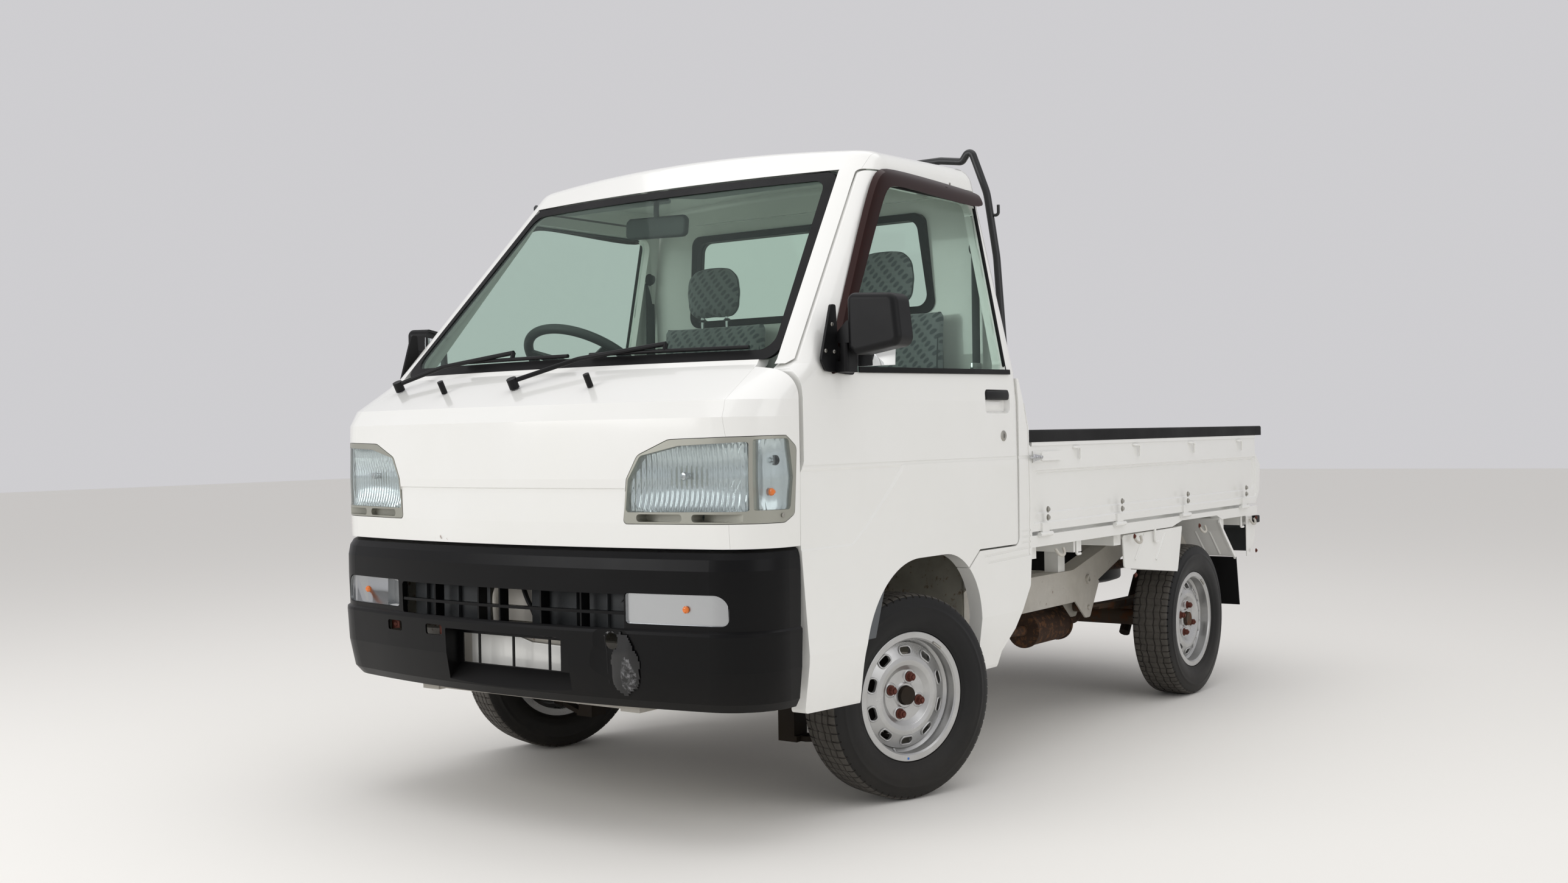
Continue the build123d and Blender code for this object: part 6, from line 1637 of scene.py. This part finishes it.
@dataclass
class Bed:
    """What is fastened to the load bed and below it, and the rust on the nose's lower edge."""

    hinges: Tuple[float, ...] = (1513.0, 2045.0, 2605.0, 3194.0)
    nodes: Dict[str, bpy.types.Object] = field(default_factory=dict)

    def build(self) -> int:
        """Makes the bed's pieces.

        Returns:
            How many pieces were made.
        """
        return self.gate_parts() + self.rear_parts() + self.tail_lamps() + self.under_parts() + self.rust()

    def gate_parts(self) -> int:
        """Bolts of each side gate's hinge straps and the chromed catch at its front."""
        made = 0
        for move, hand in zip(BOTH_SIDES, ("left", "right")):
            bolts = []
            for y in self.hinges:
                for z in (699.0, 723.0):
                    bolts.append(stamp(cap_bolt(6.5), [aimed((745, y, z), (1, 0, 0))]))
            done(stamp(join(bolts), [move]), f"gate_hinge_bolts_{hand}", f"gate_{hand}", ZINC)
            lever = eased(prism(((744, 1420, 866), (744, 1476, 872), (744, 1482, 882), (744, 1420, 888)),
                                (7, 0, 0)), 2.5, 3)
            hook = wire(((748, 1424, 876), (752, 1412, 878), (746, 1404, 878)), 3.5, smooth=True)
            screws = [stamp(cross_screw(4.5), [aimed((751, y, 878), (1, 0, 0))]) for y in (1438, 1464)]
            done(stamp(join([lever, hook] + screws), [move]), f"gate_catch_{hand}", f"gate_{hand}", CHROME)
            made += 2
        return made

    def rear_parts(self) -> int:
        """Rubber stops at the rear corners, rope hooks along both sides, and the plate's bracket."""
        stop = eased(block((716, 3324, 581), (733, 3378, 609)), 4.0, 3)
        done(stamp(stop, BOTH_SIDES), "gate_stops", "root", SEAL_RUBBER)
        hooks = []
        for y in (1620, 2200, 2780, 3300):
            bend = ((728, y - 26, 600), (736, y - 24, 584), (738, y, 577), (736, y + 24, 584),
                    (728, y + 26, 600))
            hooks.append(wire(bend, 4.5, smooth=True))
        done(stamp(join(hooks), BOTH_SIDES), "rope_hooks", "root", CHASSIS_PAINT)
        plate = eased(block((-165, 3348, 500), (165, 3350.5, 590)), 1.0)
        bolts = [stamp(cap_bolt(5.0), [aimed((x, 3350.5, 572), (0, 1, 0))]) for x in (-105, 105)]
        done(plate, "plate_bracket", "root", BODY_PAINT)
        done(join(bolts), "plate_bolts", "root", ZINC)
        return 4

    def tail_lamps(self) -> int:
        """Turns each tail lamp solid into a body; wide ones get a frosted, a red and an amber lens."""
        made = 0
        for solid in loose_copies(self.nodes["tail_lamps"]):
            low, high = span(solid)
            hand = "left" if low.x + high.x > 0 else "right"
            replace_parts(done(solid, f"tail_lamp_body_{hand}_{made}", "root", DARK_PLASTIC), "tail_lamps")
            made += 1
            if high.x - low.x < 60:
                continue
            inner, outer = sorted((abs(low.x), abs(high.x)))
            width = (outer - inner - 12) / 3
            sign = 1 if hand == "left" else -1
            for index, finish in enumerate((FROSTED_LENS, RED_LENS, AMBER_LENS)):
                start = inner + 6 + index * width
                lens = block((start + 0.6, high.y - 2, low.z + 7),
                             (start + width - 0.6, high.y + 7, high.z - 7))
                lens = stamp(eased(lens, 3.0, 3), [Matrix.Identity(4) if sign > 0 else ACROSS])
                done(lens, f"tail_lens_{index}_{hand}_{made}", "root", finish)
                made += 1
        return made

    def under_parts(self) -> int:
        """Dampers, brake pipes, the filler cap and the splash panels' corner bolts."""
        damper = join([wire(((430, 2760, 200), (420, 2920, 395)), 20.0),
                       wire(((420, 2900, 370), (417, 2950, 432)), 11.0)])
        done(stamp(damper, BOTH_SIDES), "rear_dampers", "root", DARK_STEEL)
        pipes = [wire(((300 + 8 * i, 1000, 300), (300 + 8 * i, 1500, 298), (290 + 8 * i, 2500, 298),
                       (285 + 8 * i, 2620, 280)), 2.4, smooth=True) for i in range(2)]
        done(join(pipes), "brake_pipes", "root", ZINC)
        bolts = []
        for y, z in ((2166, 602), (3330, 602), (2170, 474), (3326, 474), (2740, 604)):
            bolts.append(stamp(cap_bolt(5.5), [aimed((733, y, z), (1, 0, 0))]))
        done(stamp(join(bolts), BOTH_SIDES), "splash_panel_bolts", "root", RUSTY_BOLT)
        cap = turned(((0, 0), (32, 0), (32, 14), (26, 20), (12, 21), (10, 26), (0, 27)), 32)
        done(stamp(cap, [aimed((-433, 1790, 372), (-1, 0, 0))]), "filler_cap", "root", TRIM_PLASTIC)
        return 4

    def rust(self) -> int:
        """Rust that shows along the nose's lower edge."""
        panel = self.nodes["front_panel"]
        stains = [patch(panel, (x, z), half) for x, z, half in (
            (-222.0, 712.0, (13.0, 6.0)), (-196.0, 709.0, (6.0, 4.0)), (-246.0, 708.0, (5.0, 3.0)),
            (118.0, 709.0, (7.0, 3.0)))]
        done(join(stains), "nose_rust", "root", RUST_STAIN, 60.0)
        return 1


@dataclass
class Roof:
    """The antenna on the right pillar."""

    def build(self) -> int:
        """Makes the antenna.

        Returns:
            How many pieces were made.
        """
        mast = wire(((-600, 774, 1668), (-600, 812, 1690), (-600, 854, 1718)), 2.2)
        tip = stamp(turned(((0, 0), (3.6, 0), (3.6, 5), (0, 7)), 16),
                    [aimed((-600, 852, 1717), (0, 0.8, 0.55))])
        base = stamp(turned(((0, -6), (10, -6), (9, 3), (5, 9), (0, 10)), 20),
                     [aimed((-600, 774, 1664), (-0.4, 0.2, 1))])
        done(join([mast, tip]), "antenna_mast", "root", CHROME)
        done(base, "antenna_base", "root", DARK_PLASTIC)
        return 2


def cap_bolt(radius: float) -> bpy.types.Object:
    """A hexagon bolt head on its washer, made about Z."""
    washer = turned(((0, 0), (radius * 1.5, 0), (radius * 1.5, 1.2), (0, 1.2)), 24)
    head = turned(((0, 1.2), (radius, 1.2), (radius, radius * 0.8), (radius * 0.8, radius), (0, radius)), 6)
    return join([washer, head])


class Dresser:
    """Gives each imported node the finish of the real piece."""

    FINISHES: Dict[str, object] = {
        "white_paint": BODY_PAINT, "cabin_paint": CABIN_PAINT, "chassis_paint": CHASSIS_PAINT,
        "black_plastic": TRIM_PLASTIC, "trim_rubber": SEAL_RUBBER, "tyre_rubber": TYRE_RUBBER,
        "wheel_paint": WHEEL_PAINT, "cast_steel": UNDERBODY_STEEL, "rusty_steel": RUSTY_SHEET,
        "clear_glass": SHEET_GLASS, "lamp_glass": LAMP_LENS, "red_lens": RED_LENS,
        "seat_fabric": SEAT_CLOTH, "grey_plastic": CABIN_PLASTIC, "frame_paint": FRAME_PAINT,
    }
    SPECIAL: Dict[str, object] = {
        "front_bumper": BUMPER_PLASTIC, "door_glass_left": DOOR_PANE, "door_glass_right": DOOR_PANE,
        "steering_wheel": DARK_PLASTIC, "steering_column": DARK_PLASTIC,
        "cab_floor": SPLASHED_PAINT, "front_suspension": DARK_STEEL, "knuckle_left": DARK_STEEL,
        "knuckle_right": DARK_STEEL,
    }

    def dress(self, frame: Dict[str, object]) -> int:
        """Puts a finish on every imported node.


        Returns:
            How many nodes were dressed.
        """
        slots = {row["node"]: row["material_slot"] for row in frame["record"]["subparts"]}
        for name, thing in frame["nodes"].items():
            finish = self.SPECIAL.get(name) or self.FINISHES[slots[name]]
            thing.data.materials.clear()
            thing.data.materials.append(finish.build())
        return len(frame["nodes"])


@dataclass
class Studio:
    """Pale floor, soft lamps, even surroundings and the camera."""

    floor_half: float = 30.0
    lens: float = 36.218
    eye: Point = (2.84733, -4.41524, 0.96006)
    yaw: float = 35.8762
    pitch: float = -0.2871
    roll: float = -0.9985

    def build(self) -> None:
        """Makes the floor, the lamps, the world and the camera."""
        bpy.context.scene.view_settings.view_transform = "Standard"
        self.lay_floor()
        self.hang_lamps()
        self.light_world()
        self.set_camera()

    def lay_floor(self) -> None:
        """One large level floor under the tyres, painted pale and matt."""
        clear()
        bpy.ops.mesh.primitive_plane_add(size=2 * self.floor_half, location=(0, 0, 0))
        floor = bpy.context.active_object
        floor.name = "studio_floor"
        material = bpy.data.materials.new("floor_paint")
        material.use_nodes = True
        tree = material.node_tree
        tree.nodes.clear()
        shader = add(tree, "ShaderNodeBsdfPrincipled", Base_Color=linear("#F1EFEA"), Roughness=0.9)
        add(tree, "ShaderNodeOutputMaterial", Surface=shader.outputs[0])
        floor.data.materials.append(material)

    def hang_lamps(self) -> None:
        """A broad lamp overhead and one at each side of the camera, the left one brighter."""
        for name, place, size, watts in (
                ("overhead", (0.3, -0.6, 5.2), 6.0, 95.0),
                ("left_of_camera", (-2.2, -5.8, 2.7), 3.0, 85.0),
                ("right_of_camera", (5.6, -1.6, 2.8), 3.4, 38.0)):
            data = bpy.data.lights.new(name, "AREA")
            data.size = size
            data.energy = watts
            lamp = bpy.data.objects.new(name, data)
            bpy.context.scene.collection.objects.link(lamp)
            aim = Vector((0, -0.2, 0.7)) - Vector(place)
            turn = aim.to_track_quat("-Z", "Y").to_matrix().to_4x4()
            lamp.matrix_world = Matrix.Translation(place) @ turn

    def light_world(self) -> None:
        """Even light from all round, and a pale backdrop for sight, gloss and glass."""
        world = bpy.data.worlds.new("even_sky")
        bpy.context.scene.world = world
        world.use_nodes = True
        tree = world.node_tree
        tree.nodes.clear()
        path = add(tree, "ShaderNodeLightPath")
        seen = path.outputs["Is Camera Ray"]
        for ray in ("Is Transmission Ray", "Is Glossy Ray"):
            seen = add(tree, "ShaderNodeMath", operation="MAXIMUM", in0=seen,
                       in1=path.outputs[ray]).outputs[0]
        plain = add(tree, "ShaderNodeBackground", Color=linear("#E9E8EA"), Strength=0.8)
        shown = add(tree, "ShaderNodeBackground", Color=linear("#E4E3E6"), Strength=0.8)
        mixed = add(tree, "ShaderNodeMixShader", in0=seen, in1=plain.outputs[0],
                    in2=shown.outputs[0])
        add(tree, "ShaderNodeOutputWorld", Surface=mixed.outputs[0])

    def set_camera(self) -> None:
        """Stands the camera where the photograph was taken from."""
        yaw, pitch, roll = (math.radians(a) for a in (self.yaw, self.pitch, self.roll))
        ahead = Vector((-math.sin(yaw) * math.cos(pitch), math.cos(yaw) * math.cos(pitch),
                        math.sin(pitch)))
        level = Vector((math.cos(yaw), math.sin(yaw), 0.0))
        upright = level.cross(ahead)
        right = math.cos(roll) * level + math.sin(roll) * upright
        up = -math.sin(roll) * level + math.cos(roll) * upright
        data = bpy.data.cameras.new("photo_camera")
        data.sensor_width = 36.0
        data.lens = self.lens
        data.clip_start, data.clip_end = 0.05, 100.0
        camera = bpy.data.objects.new("photo_camera", data)
        bpy.context.scene.collection.objects.link(camera)
        turn = Matrix((right, up, -ahead)).transposed().to_4x4()
        camera.matrix_world = Matrix.Translation(self.eye) @ turn
        bpy.context.scene.camera = camera


def main() -> None:
    """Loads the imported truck, dresses it and adds what the photograph shows."""
    logging.basicConfig(level=logging.INFO, format="%(message)s")
    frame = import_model()
    Studio().build()
    LOG.info("dressed %d nodes", Dresser().dress(frame))
    nodes = frame["nodes"]
    for section in (Wheels(), Headlights(nodes=nodes), Bumper(nodes=nodes), Seats(), Cabin(),
                    Doors(), Bed(nodes=nodes), Roof()):
        LOG.info("%s: %d pieces", type(section).__name__, section.build())
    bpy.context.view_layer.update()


if __name__ == "__main__":
    main()
